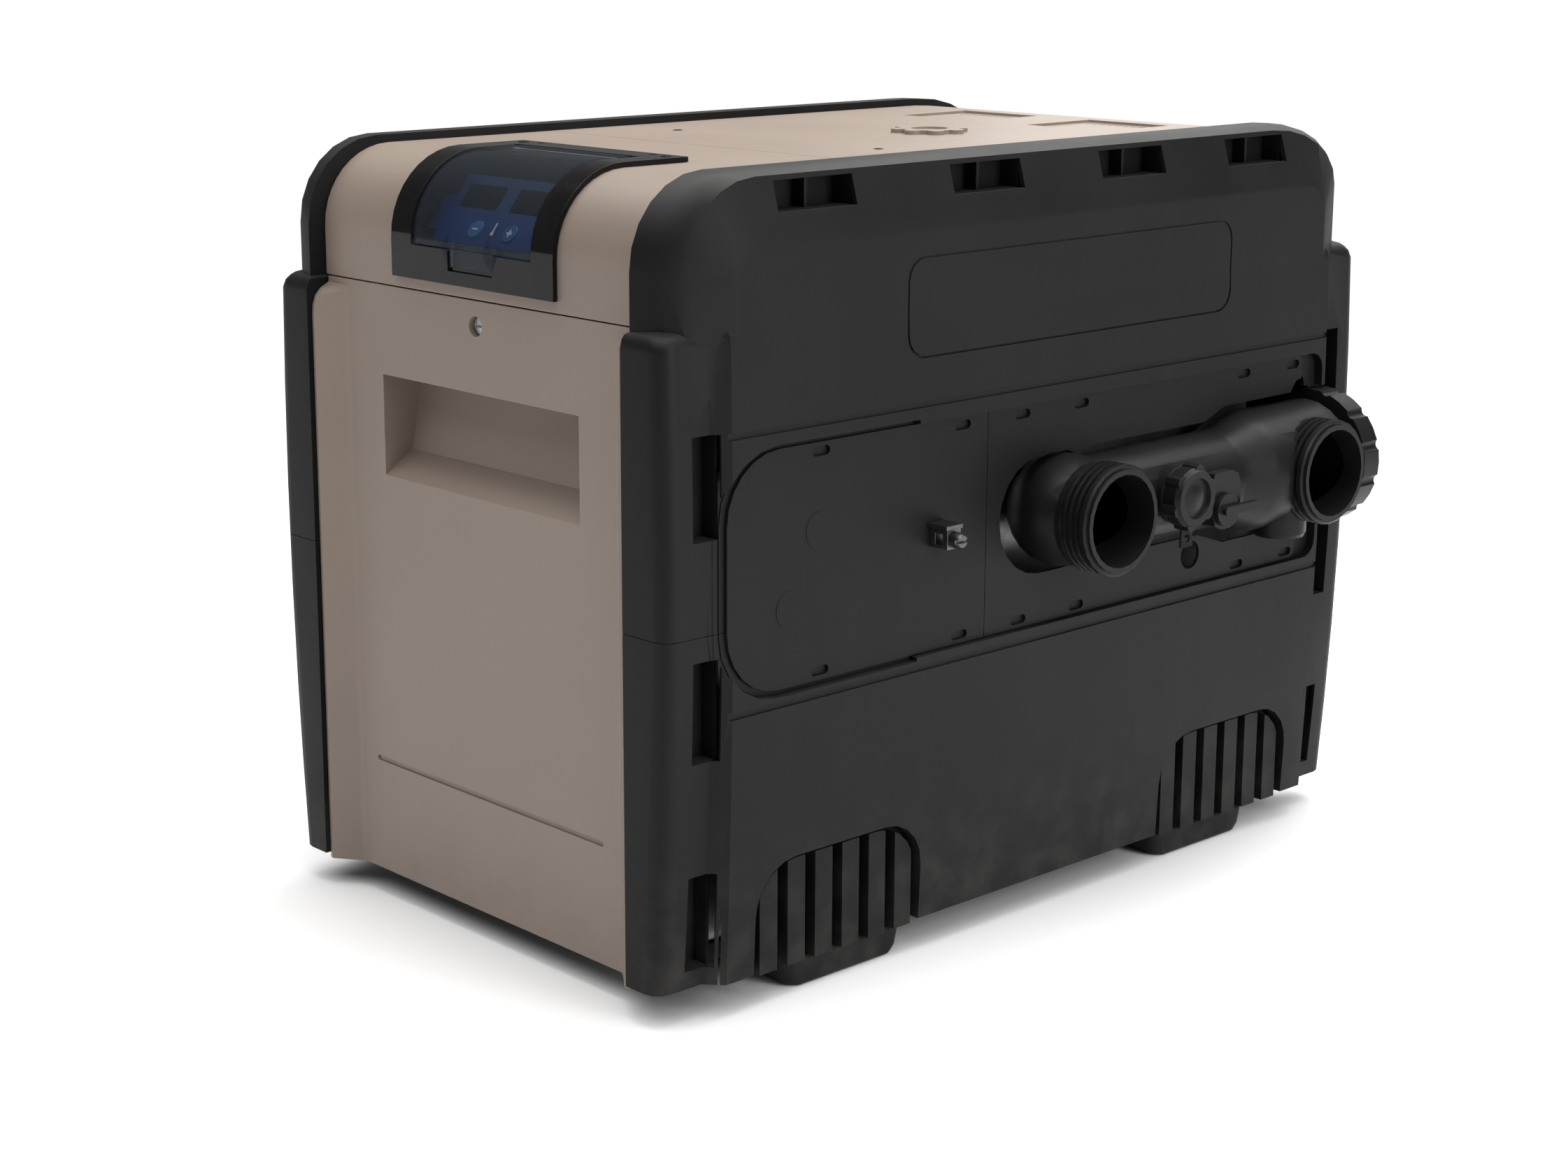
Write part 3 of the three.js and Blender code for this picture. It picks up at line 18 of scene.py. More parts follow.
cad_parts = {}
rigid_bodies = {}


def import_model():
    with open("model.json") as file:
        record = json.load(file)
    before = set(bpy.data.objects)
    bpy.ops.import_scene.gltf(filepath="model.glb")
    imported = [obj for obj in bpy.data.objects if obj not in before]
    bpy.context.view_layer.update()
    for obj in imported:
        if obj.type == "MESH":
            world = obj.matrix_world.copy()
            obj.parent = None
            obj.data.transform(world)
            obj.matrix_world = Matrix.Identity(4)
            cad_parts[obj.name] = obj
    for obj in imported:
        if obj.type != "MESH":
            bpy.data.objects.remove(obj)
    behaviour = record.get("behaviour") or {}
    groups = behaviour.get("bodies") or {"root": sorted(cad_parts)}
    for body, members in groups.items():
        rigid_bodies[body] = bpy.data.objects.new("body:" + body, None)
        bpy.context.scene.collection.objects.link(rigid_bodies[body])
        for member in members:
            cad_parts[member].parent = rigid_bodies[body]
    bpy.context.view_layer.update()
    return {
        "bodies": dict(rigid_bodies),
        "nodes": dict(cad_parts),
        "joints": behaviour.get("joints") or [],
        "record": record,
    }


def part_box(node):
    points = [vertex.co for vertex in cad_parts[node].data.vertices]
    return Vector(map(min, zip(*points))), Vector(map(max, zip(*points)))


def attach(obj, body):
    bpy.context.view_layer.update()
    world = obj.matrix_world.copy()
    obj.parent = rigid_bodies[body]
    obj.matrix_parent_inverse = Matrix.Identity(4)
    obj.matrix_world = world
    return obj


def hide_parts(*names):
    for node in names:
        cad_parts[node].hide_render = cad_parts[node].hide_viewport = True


LOG = logging.getLogger("pool_heater")
MM = 0.001
Colour = tuple[float, float, float]

DISPLAY_UP = Vector((0.0, 0.621, 0.784))  # up the slope of the display
DISPLAY_OUT = Vector((0.0, -0.784, 0.621))  # out of its film
FILM_LEVEL = 0.6001  # distance of the film from the origin, along DISPLAY_OUT
KEY_LEVEL = 0.6010  # the same for the tops of the two buttons
BEZEL_SCREW_Y = -0.2525
PANEL_TOP = 0.582  # height of the top panel's flat


# ------------------------------------------------------------------ shader kit


class Value:
    """A number socket that takes part in Python arithmetic."""

    def __init__(self, recipe: "Recipe", socket: bpy.types.NodeSocket) -> None:
        """Keeps the socket and the recipe that its Math nodes go into.

        Args:
            recipe: The material being built.
            socket: The output socket that this value stands for.
        """
        self.recipe = recipe
        self.socket = socket

    def maths(self, operation: str, other: Union["Value", float], swap: bool = False) -> "Value":
        """Adds one Math node.

        Args:
            operation: The Math node's operation.
            other: The other operand.
            swap: True when the other operand comes first.

        Returns:
            The node's result.
        """
        first, second = (other, self) if swap else (self, other)
        made = self.recipe.node("ShaderNodeMath", {"operation": operation}, {0: first, 1: second})
        return Value(self.recipe, made.outputs[0])

    def __add__(self, other: Union["Value", float]) -> "Value":
        """Sum."""
        return self.maths("ADD", other)

    __radd__ = __add__

    def __sub__(self, other: Union["Value", float]) -> "Value":
        """Difference."""
        return self.maths("SUBTRACT", other)

    def __rsub__(self, other: float) -> "Value":
        """Difference from a plain number."""
        return self.maths("SUBTRACT", other, swap=True)

    def __mul__(self, other: Union["Value", float]) -> "Value":
        """Product."""
        return self.maths("MULTIPLY", other)

    __rmul__ = __mul__

    def ramp(self, low: float, high: float, start: float = 0.0, end: float = 1.0) -> "Value":
        """Maps low..high smoothly onto start..end, and holds the ends.

        Args:
            low: Value that becomes start.
            high: Value that becomes end.
            start: Result at low.
            end: Result at high.

        Returns:
            The mapped value.
        """
        made = self.recipe.node(
            "ShaderNodeMapRange",
            {"interpolation_type": "SMOOTHSTEP", "clamp": True},
            {"Value": self, "From Min": low, "From Max": high, "To Min": start, "To Max": end},
        )
        return Value(self.recipe, made.outputs["Result"])


Feed = Union[Value, bpy.types.NodeSocket, float, Sequence[float]]


class Recipe:
    """One material under construction."""

    def __init__(self, name: str) -> None:
        """Starts an empty node tree with an output.

        Args:
            name: The material's name.
        """
        self.material = bpy.data.materials.new(name)
        self.material.use_nodes = True
        self.tree = self.material.node_tree
        self.tree.nodes.clear()
        self.output = self.tree.nodes.new("ShaderNodeOutputMaterial")
        self.coordinates = self.node("ShaderNodeTexCoord").outputs["Object"]

    def node(
        self, kind: str, settings: Optional[dict] = None, inputs: Optional[dict] = None
    ) -> bpy.types.Node:
        """Adds any node: its settings first, then the values and links of its sockets.

        Args:
            kind: The node's type.
            settings: Properties, and "stops" for a ramp's colours.
            inputs: Socket name or number against a value or a link.

        Returns:
            The new node.
        """
        made = self.tree.nodes.new(kind)
        for key, value in (settings or {}).items():
            if key == "stops":
                self._set_stops(made.color_ramp, value)
            else:
                setattr(made, key, value)
        for key, value in (inputs or {}).items():
            self.feed(made.inputs[key], value)
        return made

    @staticmethod
    def _set_stops(ramp: bpy.types.ColorRamp, stops: Sequence[tuple[float, Colour]]) -> None:
        """Replaces a colour ramp's stops."""
        while len(ramp.elements) > 1:
            ramp.elements.remove(ramp.elements[-1])
        for index, (place, colour) in enumerate(stops):
            stop = ramp.elements[0] if index == 0 else ramp.elements.new(place)
            stop.position = place
            stop.color = (*colour, 1.0)

    def feed(self, socket: bpy.types.NodeSocket, value: Feed) -> None:
        """Links a socket, or sets its own value."""
        if isinstance(value, Value):
            self.tree.links.new(value.socket, socket)
        elif isinstance(value, bpy.types.NodeSocket):
            self.tree.links.new(value, socket)
        elif isinstance(value, (tuple, list)) and len(value) == 3 and socket.type == "RGBA":
            socket.default_value = (*value, 1.0)
        else:
            socket.default_value = value

    def noise(self, per_metre: float, detail: float = 2.0, stretch: Sequence[float] = (1, 1, 1)) -> Value:
        """Fractal noise on object coordinates.

        Args:
            per_metre: Features in a metre.
            detail: Octaves.
            stretch: Scale along each axis before the noise.

        Returns:
            A value round 0.5.
        """
        mapped = self.node("ShaderNodeMapping", None, {"Vector": self.coordinates, "Scale": stretch})
        made = self.node(
            "ShaderNodeTexNoise", {"noise_dimensions": "3D"},
            {"Vector": mapped.outputs[0], "Scale": per_metre, "Detail": detail, "Roughness": 0.55},
        )
        return Value(self, made.outputs[0])

    def cells(self, per_metre: float, feature: str = "F1", output: str = "Distance") -> Value:
        """Voronoi cells on object coordinates."""
        made = self.node(
            "ShaderNodeTexVoronoi", {"feature": feature},
            {"Vector": self.coordinates, "Scale": per_metre},
        )
        return Value(self, made.outputs[output])

    def height(self) -> Value:
        """Height above the ground, in metres."""
        made = self.node("ShaderNodeSeparateXYZ", None, {0: self.coordinates})
        return Value(self, made.outputs["Z"])

    def upward(self) -> Value:
        """1 where the surface faces up, 0 where it stands upright or faces down."""
        normal = self.node("ShaderNodeNewGeometry").outputs["Normal"]
        made = self.node("ShaderNodeSeparateXYZ", None, {0: normal})
        return Value(self, made.outputs["Z"]).ramp(0.2, 0.95)

    def worn_edge(self, radius: float) -> Value:
        """1 on convex and concave edges within a radius, 0 on flats."""
        soft = self.node("ShaderNodeBevel", {"samples": 4}, {"Radius": radius}).outputs[0]
        hard = self.node("ShaderNodeNewGeometry").outputs["Normal"]
        dot = self.node("ShaderNodeVectorMath", {"operation": "DOT_PRODUCT"}, {0: soft, 1: hard})
        return Value(self, dot.outputs["Value"]).ramp(0.995, 0.86)

    def blend(self, factor: Feed, first: Feed, second: Feed) -> bpy.types.NodeSocket:
        """Mixes two colours."""
        made = self.node("ShaderNodeMix", {"data_type": "RGBA"}, {0: factor, 6: first, 7: second})
        return made.outputs[2]

    def bump(self, height: Value, depth: float) -> bpy.types.NodeSocket:
        """A normal tilted by a height of so many metres."""
        made = self.node("ShaderNodeBump", None, {"Height": height, "Distance": depth, "Strength": 1.0})
        return made.outputs[0]

    def surface(self, **sockets: Feed) -> bpy.types.Node:
        """Adds the shader that reaches the output. Keywords use _ for the spaces in socket names."""
        shader = self.node("ShaderNodeBsdfPrincipled")
        for key, value in sockets.items():
            self.feed(shader.inputs[key.replace("_", " ")], value)
        self.tree.links.new(shader.outputs[0], self.output.inputs["Surface"])
        return shader


def scaled(colour: Colour, share: float) -> Colour:
    """A colour made lighter or darker."""
    return (colour[0] * share, colour[1] * share, colour[2] * share)


# ------------------------------------------------------------------ finishes


@dataclass(frozen=True)
class MouldedPolymer:
    """A moulded polymer skin with a fine spark-eroded grain, faint flow marks and settled dust."""

    name: str
    colour: Colour
    roughness: float
    grain_per_m: float = 1300.0
    grain_depth: float = 0.00005
    mottle: float = 0.16
    dust: float = 0.06
    edge_wear: float = 0.18
    gloss: float = 0.16

    def build(self) -> bpy.types.Material:
        """Makes the material.

        Returns:
            The material.
        """
        recipe = Recipe(self.name)
        grain = recipe.noise(self.grain_per_m, 2.5)
        cloud = recipe.noise(9.0, 4.0)
        flow = recipe.noise(26.0, 3.0, (1.0, 1.0, 0.22))
        edge = recipe.worn_edge(1.6 * MM) * recipe.noise(70.0, 3.0).ramp(0.35, 0.7)
        low = recipe.height().ramp(0.16, 0.0) * recipe.noise(38.0, 5.0).ramp(0.35, 0.75)
        settled = (recipe.upward() * 0.6 + low) * self.dust
        shade = recipe.blend(
            cloud.ramp(0.3, 0.7), scaled(self.colour, 1 - self.mottle), scaled(self.colour, 1 + self.mottle))
        speck = recipe.blend(grain.ramp(0.62, 0.8) * 0.35, shade, scaled(self.colour, 1.5))
        dusty = recipe.blend(settled, speck, (0.30, 0.28, 0.25))
        worn = recipe.blend(edge * self.edge_wear, dusty, scaled(self.colour, 3.2))
        rough = self.roughness + (cloud - 0.5) * 0.16 + (flow - 0.5) * 0.10 + settled * 0.8 - edge * 0.08
        relief = grain + flow * 0.6
        recipe.surface(
            Base_Color=worn, Roughness=rough, Normal=recipe.bump(relief, self.grain_depth),
            Specular_IOR_Level=self.gloss)
        return recipe.material


@dataclass(frozen=True)
class SatinPanel:
    """A tan satin panel: faint orange peel, soft cloudiness, rain marks and rubbed edges."""

    name: str
    colour: Colour
    roughness: float

    def build(self) -> bpy.types.Material:
        """Makes the material.

        Returns:
            The material.
        """
        recipe = Recipe(self.name)
        peel = recipe.noise(420.0, 1.5)
        flake = recipe.cells(2600.0, "F1", "Distance")
        cloud = recipe.noise(5.0, 4.0)
        runs = recipe.noise(34.0, 4.0, (1.0, 1.0, 0.12))
        low = recipe.height().ramp(0.12, 0.0) * recipe.noise(45.0, 5.0).ramp(0.35, 0.75)
        edge = recipe.worn_edge(1.4 * MM) * recipe.noise(80.0, 3.0).ramp(0.4, 0.75)
        shade = recipe.blend(cloud.ramp(0.25, 0.75), scaled(self.colour, 0.955), scaled(self.colour, 1.045))
        streaked = recipe.blend(runs.ramp(0.55, 0.8) * 0.10, shade, scaled(self.colour, 0.8))
        flecked = recipe.blend(flake.ramp(0.12, 0.02) * 0.10, streaked, scaled(self.colour, 1.7))
        soiled = recipe.blend(low * 0.16, flecked, (0.16, 0.13, 0.10))
        worn = recipe.blend(edge * 0.22, soiled, scaled(self.colour, 1.45))
        rough = self.roughness + (cloud - 0.5) * 0.10 + (runs - 0.5) * 0.06 + low * 0.15
        recipe.surface(
            Base_Color=worn, Roughness=rough, Normal=recipe.bump(peel, 0.000025), Coat_Weight=0.06,
            Coat_Roughness=0.3, Specular_IOR_Level=0.3)
        return recipe.material


@dataclass(frozen=True)
class PolishedPolymer:
    """A polished polymer with handling smears and hair scratches."""

    name: str
    colour: Colour
    roughness: float = 0.07
    scratch: float = 0.10

    def build(self) -> bpy.types.Material:
        """Makes the material.

        Returns:
            The material.
        """
        recipe = Recipe(self.name)
        smear = recipe.noise(30.0, 5.0)
        hair = recipe.noise(900.0, 2.0, (1.0, 0.03, 1.0)).ramp(0.66, 0.74)
        dust = recipe.noise(1900.0, 1.0).ramp(0.72, 0.8)
        shade = recipe.blend(smear.ramp(0.35, 0.75), scaled(self.colour, 0.8), scaled(self.colour, 1.35))
        dotted = recipe.blend(dust * 0.25 + hair * 0.06, shade, (0.22, 0.22, 0.22))
        rough = self.roughness + smear.ramp(0.45, 0.8) * 0.10 + hair * self.scratch
        recipe.surface(
            Base_Color=dotted, Roughness=rough, Normal=recipe.bump(smear + hair * 0.2, 0.00002),
            Coat_Weight=0.06, Coat_Roughness=0.05, Specular_IOR_Level=0.2)
        return recipe.material


@dataclass(frozen=True)
class BareMetal:
    """Sheet, bar or cast metal, with its lay, its spangle and its dulling."""

    name: str
    colour: Colour
    roughness: float
    lay: Sequence[float] = (1.0, 1.0, 1.0)
    spangle: float = 0.0
    tarnish: Colour = (0.12, 0.10, 0.08)
    tarnish_share: float = 0.25

    def build(self) -> bpy.types.Material:
        """Makes the material.

        Returns:
            The material.
        """
        recipe = Recipe(self.name)
        brushed = recipe.noise(700.0, 3.0, self.lay)
        stain = recipe.noise(22.0, 5.0)
        crystal = recipe.cells(130.0, "F1", "Distance")
        patch = crystal.ramp(0.1, 0.8) * self.spangle
        shade = recipe.blend(brushed.ramp(0.3, 0.7), scaled(self.colour, 0.85), scaled(self.colour, 1.08))
        flecked = recipe.blend(patch, shade, scaled(self.colour, 0.6))
        dulled = recipe.blend(stain.ramp(0.48, 0.75) * self.tarnish_share, flecked, self.tarnish)
        rough = self.roughness + stain.ramp(0.4, 0.8) * 0.18 + (brushed - 0.5) * 0.12 + patch * 0.1
        metal = 1.0 - stain.ramp(0.55, 0.85) * 0.35
        recipe.surface(
            Base_Color=dulled, Roughness=rough, Metallic=metal,
            Normal=recipe.bump(brushed + patch * 0.3, 0.00003))
        return recipe.material


@dataclass(frozen=True)
class SmokedWindow:
    """A clear, lightly smoked cover: sharp reflections, a little haze and fine scuffs."""

    name: str
    tint: Colour = (0.84, 0.87, 0.92)

    def build(self) -> bpy.types.Material:
        """Makes the material.

        Returns:
            The material.
        """
        recipe = Recipe(self.name)
        scuff = recipe.noise(700.0, 2.0, (1.0, 0.05, 1.0)).ramp(0.64, 0.76)
        haze = recipe.noise(24.0, 4.0).ramp(0.4, 0.8)
        clear = recipe.node("ShaderNodeBsdfTransparent", None, {"Color": self.tint})
        gloss = recipe.node(
            "ShaderNodeBsdfPrincipled", None,
            {"Base Color": (0.05, 0.055, 0.06), "Roughness": haze * 0.06 + scuff * 0.2 + 0.03,
             "Coat Weight": 0.6, "Coat Roughness": 0.03,
             "Normal": recipe.bump(haze, 0.00002)})
        edge_on = Value(recipe, recipe.node("ShaderNodeFresnel", None, {"IOR": 1.5}).outputs[0])
        share = edge_on * 0.42 + haze * 0.02 + scuff * 0.04 + 0.02
        mixed = recipe.node(
            "ShaderNodeMixShader", None, {0: share, 1: clear.outputs[0], 2: gloss.outputs[0]})
        recipe.tree.links.new(mixed.outputs[0], recipe.output.inputs["Surface"])
        return recipe.material


@dataclass(frozen=True)
class CircuitBoard:
    """A lacquered board with copper runs under the lacquer."""

    name: str
    colour: Colour = (0.012, 0.10, 0.035)

    def build(self) -> bpy.types.Material:
        """Makes the material.

        Returns:
            The material.
        """
        recipe = Recipe(self.name)
        runs = recipe.cells(150.0, "DISTANCE_TO_EDGE").ramp(0.03, 0.06, 1.0, 0.0)
        pads = recipe.cells(260.0).ramp(0.16, 0.12)
        cloud = recipe.noise(60.0, 3.0)
        shade = recipe.blend(cloud.ramp(0.3, 0.7), scaled(self.colour, 0.8), scaled(self.colour, 1.25))
        traced = recipe.blend(runs * 0.5, shade, scaled(self.colour, 2.6))
        dotted = recipe.blend(pads, traced, (0.55, 0.53, 0.48))
        rough = 0.32 + cloud * 0.1 - pads * 0.08
        recipe.surface(
            Base_Color=dotted, Roughness=rough, Metallic=pads * 0.7,
            Normal=recipe.bump(runs + pads, 0.00004), Coat_Weight=0.3)
        return recipe.material


@dataclass(frozen=True)
class PrintedFilm:
    """The display's printed film: deep blue, lighter up the slope, with a fine weave."""

    name: str
    low: Colour
    high: Colour
    from_z: float
    to_z: float

    def build(self) -> bpy.types.Material:
        """Makes the material.

        Returns:
            The material.
        """
        recipe = Recipe(self.name)
        fade = recipe.height().ramp(self.from_z, self.to_z)
        texture = recipe.noise(2400.0, 1.0)
        smear = recipe.noise(40.0, 4.0)
        shade = recipe.blend(fade, self.low, self.high)
        textured = recipe.blend(texture.ramp(0.3, 0.7) * 0.2, shade, scaled(self.low, 0.5))
        rough = 0.28 + smear * 0.14
        recipe.surface(
            Base_Color=textured, Roughness=rough, Normal=recipe.bump(texture, 0.00002), Coat_Weight=0.2)
        return recipe.material


class Finish(Enum):
    """The finishes of this unit, by the record's material slot."""

    charcoal = MouldedPolymer("charcoal_polymer", (0.0058, 0.0058, 0.0060), 0.52)
    tan = SatinPanel("tan_satin", (0.222, 0.176, 0.144), 0.40)
    gloss_black = PolishedPolymer("gloss_black", (0.0045, 0.0045, 0.005))
    clear_smoke = SmokedWindow("smoked_cover")
    display_blue = PrintedFilm("display_film", (0.005, 0.040, 0.150), (0.004, 0.016, 0.055), 0.52, 0.57)
    button_blue = PolishedPolymer("button_blue", (0.03, 0.10, 0.22), 0.3)
    pipe_black = MouldedPolymer("pipe_black", (0.0062, 0.0062, 0.0065), 0.38, 900.0, 0.00004, 0.22, 0.03, 0.2)
    seal_rubber = MouldedPolymer("seal_rubber", (0.010, 0.010, 0.010), 0.8, 700.0, 0.00006, 0.2, 0.05, 0.05)
    steel = BareMetal("galvanised_sheet", (0.52, 0.53, 0.55), 0.34, (1, 1, 1), 0.5)
    zinc = BareMetal("zinc_plate", (0.12, 0.12, 0.125), 0.36, (1, 0.2, 1), 0.1)
    copper = BareMetal("copper_tube", (0.72, 0.34, 0.20), 0.28, (0.1, 1, 1), 0.0, (0.10, 0.05, 0.03), 0.5)
    cast_housing = MouldedPolymer(
        "painted_casting", (0.05, 0.053, 0.056), 0.45, 800.0, 0.00008, 0.12, 0.05, 0.35)
    cast_alloy = BareMetal("cast_alloy", (0.50, 0.51, 0.52), 0.48, (1, 1, 1), 0.0, (0.2, 0.2, 0.2), 0.4)
    board_green = CircuitBoard("board_green")
    ivory = MouldedPolymer("ivory_polymer", (0.62, 0.58, 0.50), 0.45, 900.0, 0.00004, 0.06, 0.03, 0.05)
    red_knob = MouldedPolymer("red_knob", (0.42, 0.035, 0.02), 0.38, 900.0, 0.00004, 0.08, 0.03, 0.1)

    @property
    def slot(self) -> str:
        """The record's name for it."""
        return self.name


class FinishShelf:
    """Makes each finish once and hands it out."""

    def __init__(self) -> None:
        """Starts empty."""
        self._made: dict[Finish, bpy.types.Material] = {}

    def take(self, finish: Finish) -> bpy.types.Material:
        """The finish's material."""
        if finish not in self._made:
            self._made[finish] = finish.value.build()
        return self._made[finish]


# ------------------------------------------------------------------ mesh kit


@dataclass
class Workshop:
    """Makes pieces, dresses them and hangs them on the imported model's bodies."""

    frame: dict
    shelf: FinishShelf = field(default_factory=FinishShelf)
    body_of: dict[str, str] = field(default_factory=dict)
    finish_of: dict[str, Finish] = field(default_factory=dict)

    def __post_init__(self) -> None:
        """Reads which body and which slot each node belongs to."""
        record = self.frame["record"]
        for body, nodes in record["behaviour"]["bodies"].items():
            for node in nodes:
                self.body_of[node] = body
        for part in record["subparts"]:
            self.finish_of[part["node"]] = Finish[part["material_slot"]]

    def piece(self, name: str, mesh: bmesh.types.BMesh, body: str, finish: Finish) -> bpy.types.Object:
        """Turns a finished bmesh into a piece that rides on a body.

        Args:
            name: The piece's name.
            mesh: Its shape, in the row frame. It is freed.
            body: The body it moves with.
            finish: What it is made of.

        Returns:
            The new object.
        """
        data = bpy.data.meshes.new(name)
        mesh.to_mesh(data)
        mesh.free()
        made = bpy.data.objects.new(name, data)
        bpy.context.scene.collection.objects.link(made)
        data.materials.append(self.shelf.take(finish))
        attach(made, body)
        LOG.info("piece %s: %d faces on %s", name, len(data.polygons), body)
        return made

    def soften(
        self, node: str, width: float, segments: int = 3, sharp: float = 34.0
    ) -> bpy.types.Object:
        """Stands a piece with eased edges in for a CAD node of the same shape.

        Args:
            node: The CAD node.
            width: How far the easing reaches from each edge.
            segments: Facets across the easing.
            sharp: Edges that turn by more than this many degrees are eased.

        Returns:
            The new object.
        """
        mesh = bmesh.new()
        mesh.from_mesh(self.frame["nodes"][node].data)
        bmesh.ops.remove_doubles(mesh, verts=mesh.verts, dist=2e-6)
        bmesh.ops.dissolve_limit(
            mesh, angle_limit=math.radians(0.6), verts=mesh.verts, edges=mesh.edges, delimit=set())
        smooth_by_angle(mesh, sharp)
        made = self.piece(f"{node}_skin", mesh, self.body_of[node], self.finish_of[node])
        ease_edges(made, width, segments, sharp)
        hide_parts(node)
        return made

    def centre(self, node: str) -> Vector:
        """The middle of a CAD node's box."""
        low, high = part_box(node)
        return (low + high) / 2


def smooth_by_angle(mesh: bmesh.types.BMesh, degrees: float) -> None:
    """Smooths every face and keeps the edges sharper than an angle."""
    for face in mesh.faces:
        face.smooth = True
    for edge in mesh.edges:
        edge.smooth = edge.is_manifold and edge.calc_face_angle(0.0) < math.radians(degrees)


def ease_edges(made: bpy.types.Object, width: float, segments: int, sharp: float) -> None:
    """Rounds a piece's hard edges and evens the shading of its flats."""
    bevel = made.modifiers.new("eased_edges", "BEVEL")
    bevel.width = width
    bevel.segments = segments
    bevel.profile = 0.5
    bevel.limit_method = "ANGLE"
    bevel.angle_limit = math.radians(sharp)
    bevel.use_clamp_overlap = True
    even = made.modifiers.new("even_shading", "WEIGHTED_NORMAL")
    even.keep_sharp = True
    even.weight = 60


# ------------------------------------------------------------------ sub-assemblies


@dataclass
class Softened:
    """A group of CAD nodes that only need eased edges and their finish."""

    name: str
    nodes: dict[str, float]

    def build(self, shop: Workshop) -> None:
        """Eases each node by its own width."""
        for node, width in self.nodes.items():
            shop.soften(node, width * MM)
        LOG.info("%s: %d pieces", self.name, len(self.nodes))


@dataclass(frozen=True)
class Slope:
    """A flat place on the unit, with its own across and up directions."""

    origin: Vector
    across: Vector
    up: Vector

    @property
    def out(self) -> Vector:
        """The way the flat faces."""
        return self.across.cross(self.up).normalized()

    def at(self, across: float, up: float, out: float = 0.0) -> Vector:
        """A point given in millimetres on the flat."""
        return self.origin + self.across * across * MM + self.up * up * MM + self.out * out * MM

    def matrix(self, across: float, up: float, out: float = 0.0) -> Matrix:
        """A frame whose X, Y and Z are across, up and out, placed at a point on the flat."""
        turn = Matrix((self.across, self.up, self.out)).transposed().to_4x4()
        return Matrix.Translation(self.at(across, up, out)) @ turn


def add_plate(
    mesh: bmesh.types.BMesh, slope: Slope, middle: tuple[float, float], size: tuple[float, float],
    thick: float, corner: float = 0.0
) -> None:
    """Adds a thin rounded plate that stands on a flat, its foot just under the surface.

    Args:
        mesh: The bmesh that receives it.
        slope: The flat.
        middle: Its middle on the flat, in millimetres.
        size: Its width and height, in millimetres.
        thick: How far it stands out, in millimetres.
        corner: Corner radius, in millimetres.
    """
    made = bmesh.ops.create_cube(mesh, size=1.0)
    verts = made["verts"]
    bmesh.ops.scale(mesh, vec=(size[0] * MM, size[1] * MM, (thick + 0.2) * MM), verts=verts)
    if corner:
        upright = [e for e in {e for v in verts for e in v.link_edges}
                   if abs((e.verts[0].co - e.verts[1].co).normalized().z) > 0.9]
        bevelled = bmesh.ops.bevel(
            mesh, geom=upright, offset=corner * MM, segments=4, affect="EDGES", profile=0.5, material=-1)
        verts = list({v for f in bevelled["faces"] for v in f.verts} | {v for v in verts if v.is_valid})
    bmesh.ops.transform(
        mesh, matrix=slope.matrix(middle[0], middle[1], (thick - 0.2) / 2), verts=verts)


@dataclass
class PodGraphics:
    """The display's two plain windows and generic signs, and the marks on its two buttons."""

    def build(self, shop: Workshop) -> None:
        """Lays the windows and signs on the display film and the buttons."""
        panel = shop.centre("display_panel")
        low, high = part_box("display_panel")
        middle = Vector((panel.x, (low.y + high.y) / 2, (low.z + high.z) / 2))
        lift = FILM_LEVEL - middle.dot(DISPLAY_OUT)
        film = Slope(middle + DISPLAY_OUT * lift, Vector((1.0, 0.0, 0.0)), DISPLAY_UP)
        windows = bmesh.new()
        add_plate(windows, film, (-34.0, 11.0), (44.0, 20.0), 0.15, 2.0)
        add_plate(windows, film, (20.0, 11.0), (34.0, 20.0), 0.15, 2.0)
        shop.piece("display_windows", windows, "cabinet", Finish.gloss_black)
        signs = bmesh.new()
        for across in (48.0, 54.0):
            for up in (4.0, 10.0, 16.0):
                add_plate(signs, film, (across, up), (2.4, 2.4), 0.15, 0.8)
        add_plate(signs, film, (-2.0, -13.0), (1.4, 9.0), 0.15, 0.5)
        add_plate(signs, film, (-2.0, -17.5), (3.4, 3.4), 0.15, 1.4)
        shop.piece("display_signs", signs, "cabinet", Finish.ivory)
        for node, crossed in (("minus_button", False), ("plus_button", True)):
            self._sign(shop, node, crossed)

    @staticmethod
    def _sign(shop: Workshop, node: str, crossed: bool) -> None:
        """Stands a minus or a plus on a button's face."""
        key = shop.centre(node)
        level = KEY_LEVEL - key.dot(DISPLAY_OUT)
        flat = Slope(key + DISPLAY_OUT * level, Vector((1.0, 0.0, 0.0)), DISPLAY_UP)
        mark = bmesh.new()
        add_plate(mark, flat, (0.0, 0.0), (6.0, 1.3), 0.2, 0.3)
        if crossed:
            add_plate(mark, flat, (0.0, 0.0), (1.3, 6.0), 0.22, 0.3)
        shop.piece(f"{node}_sign", mark, shop.body_of[node], Finish.ivory)


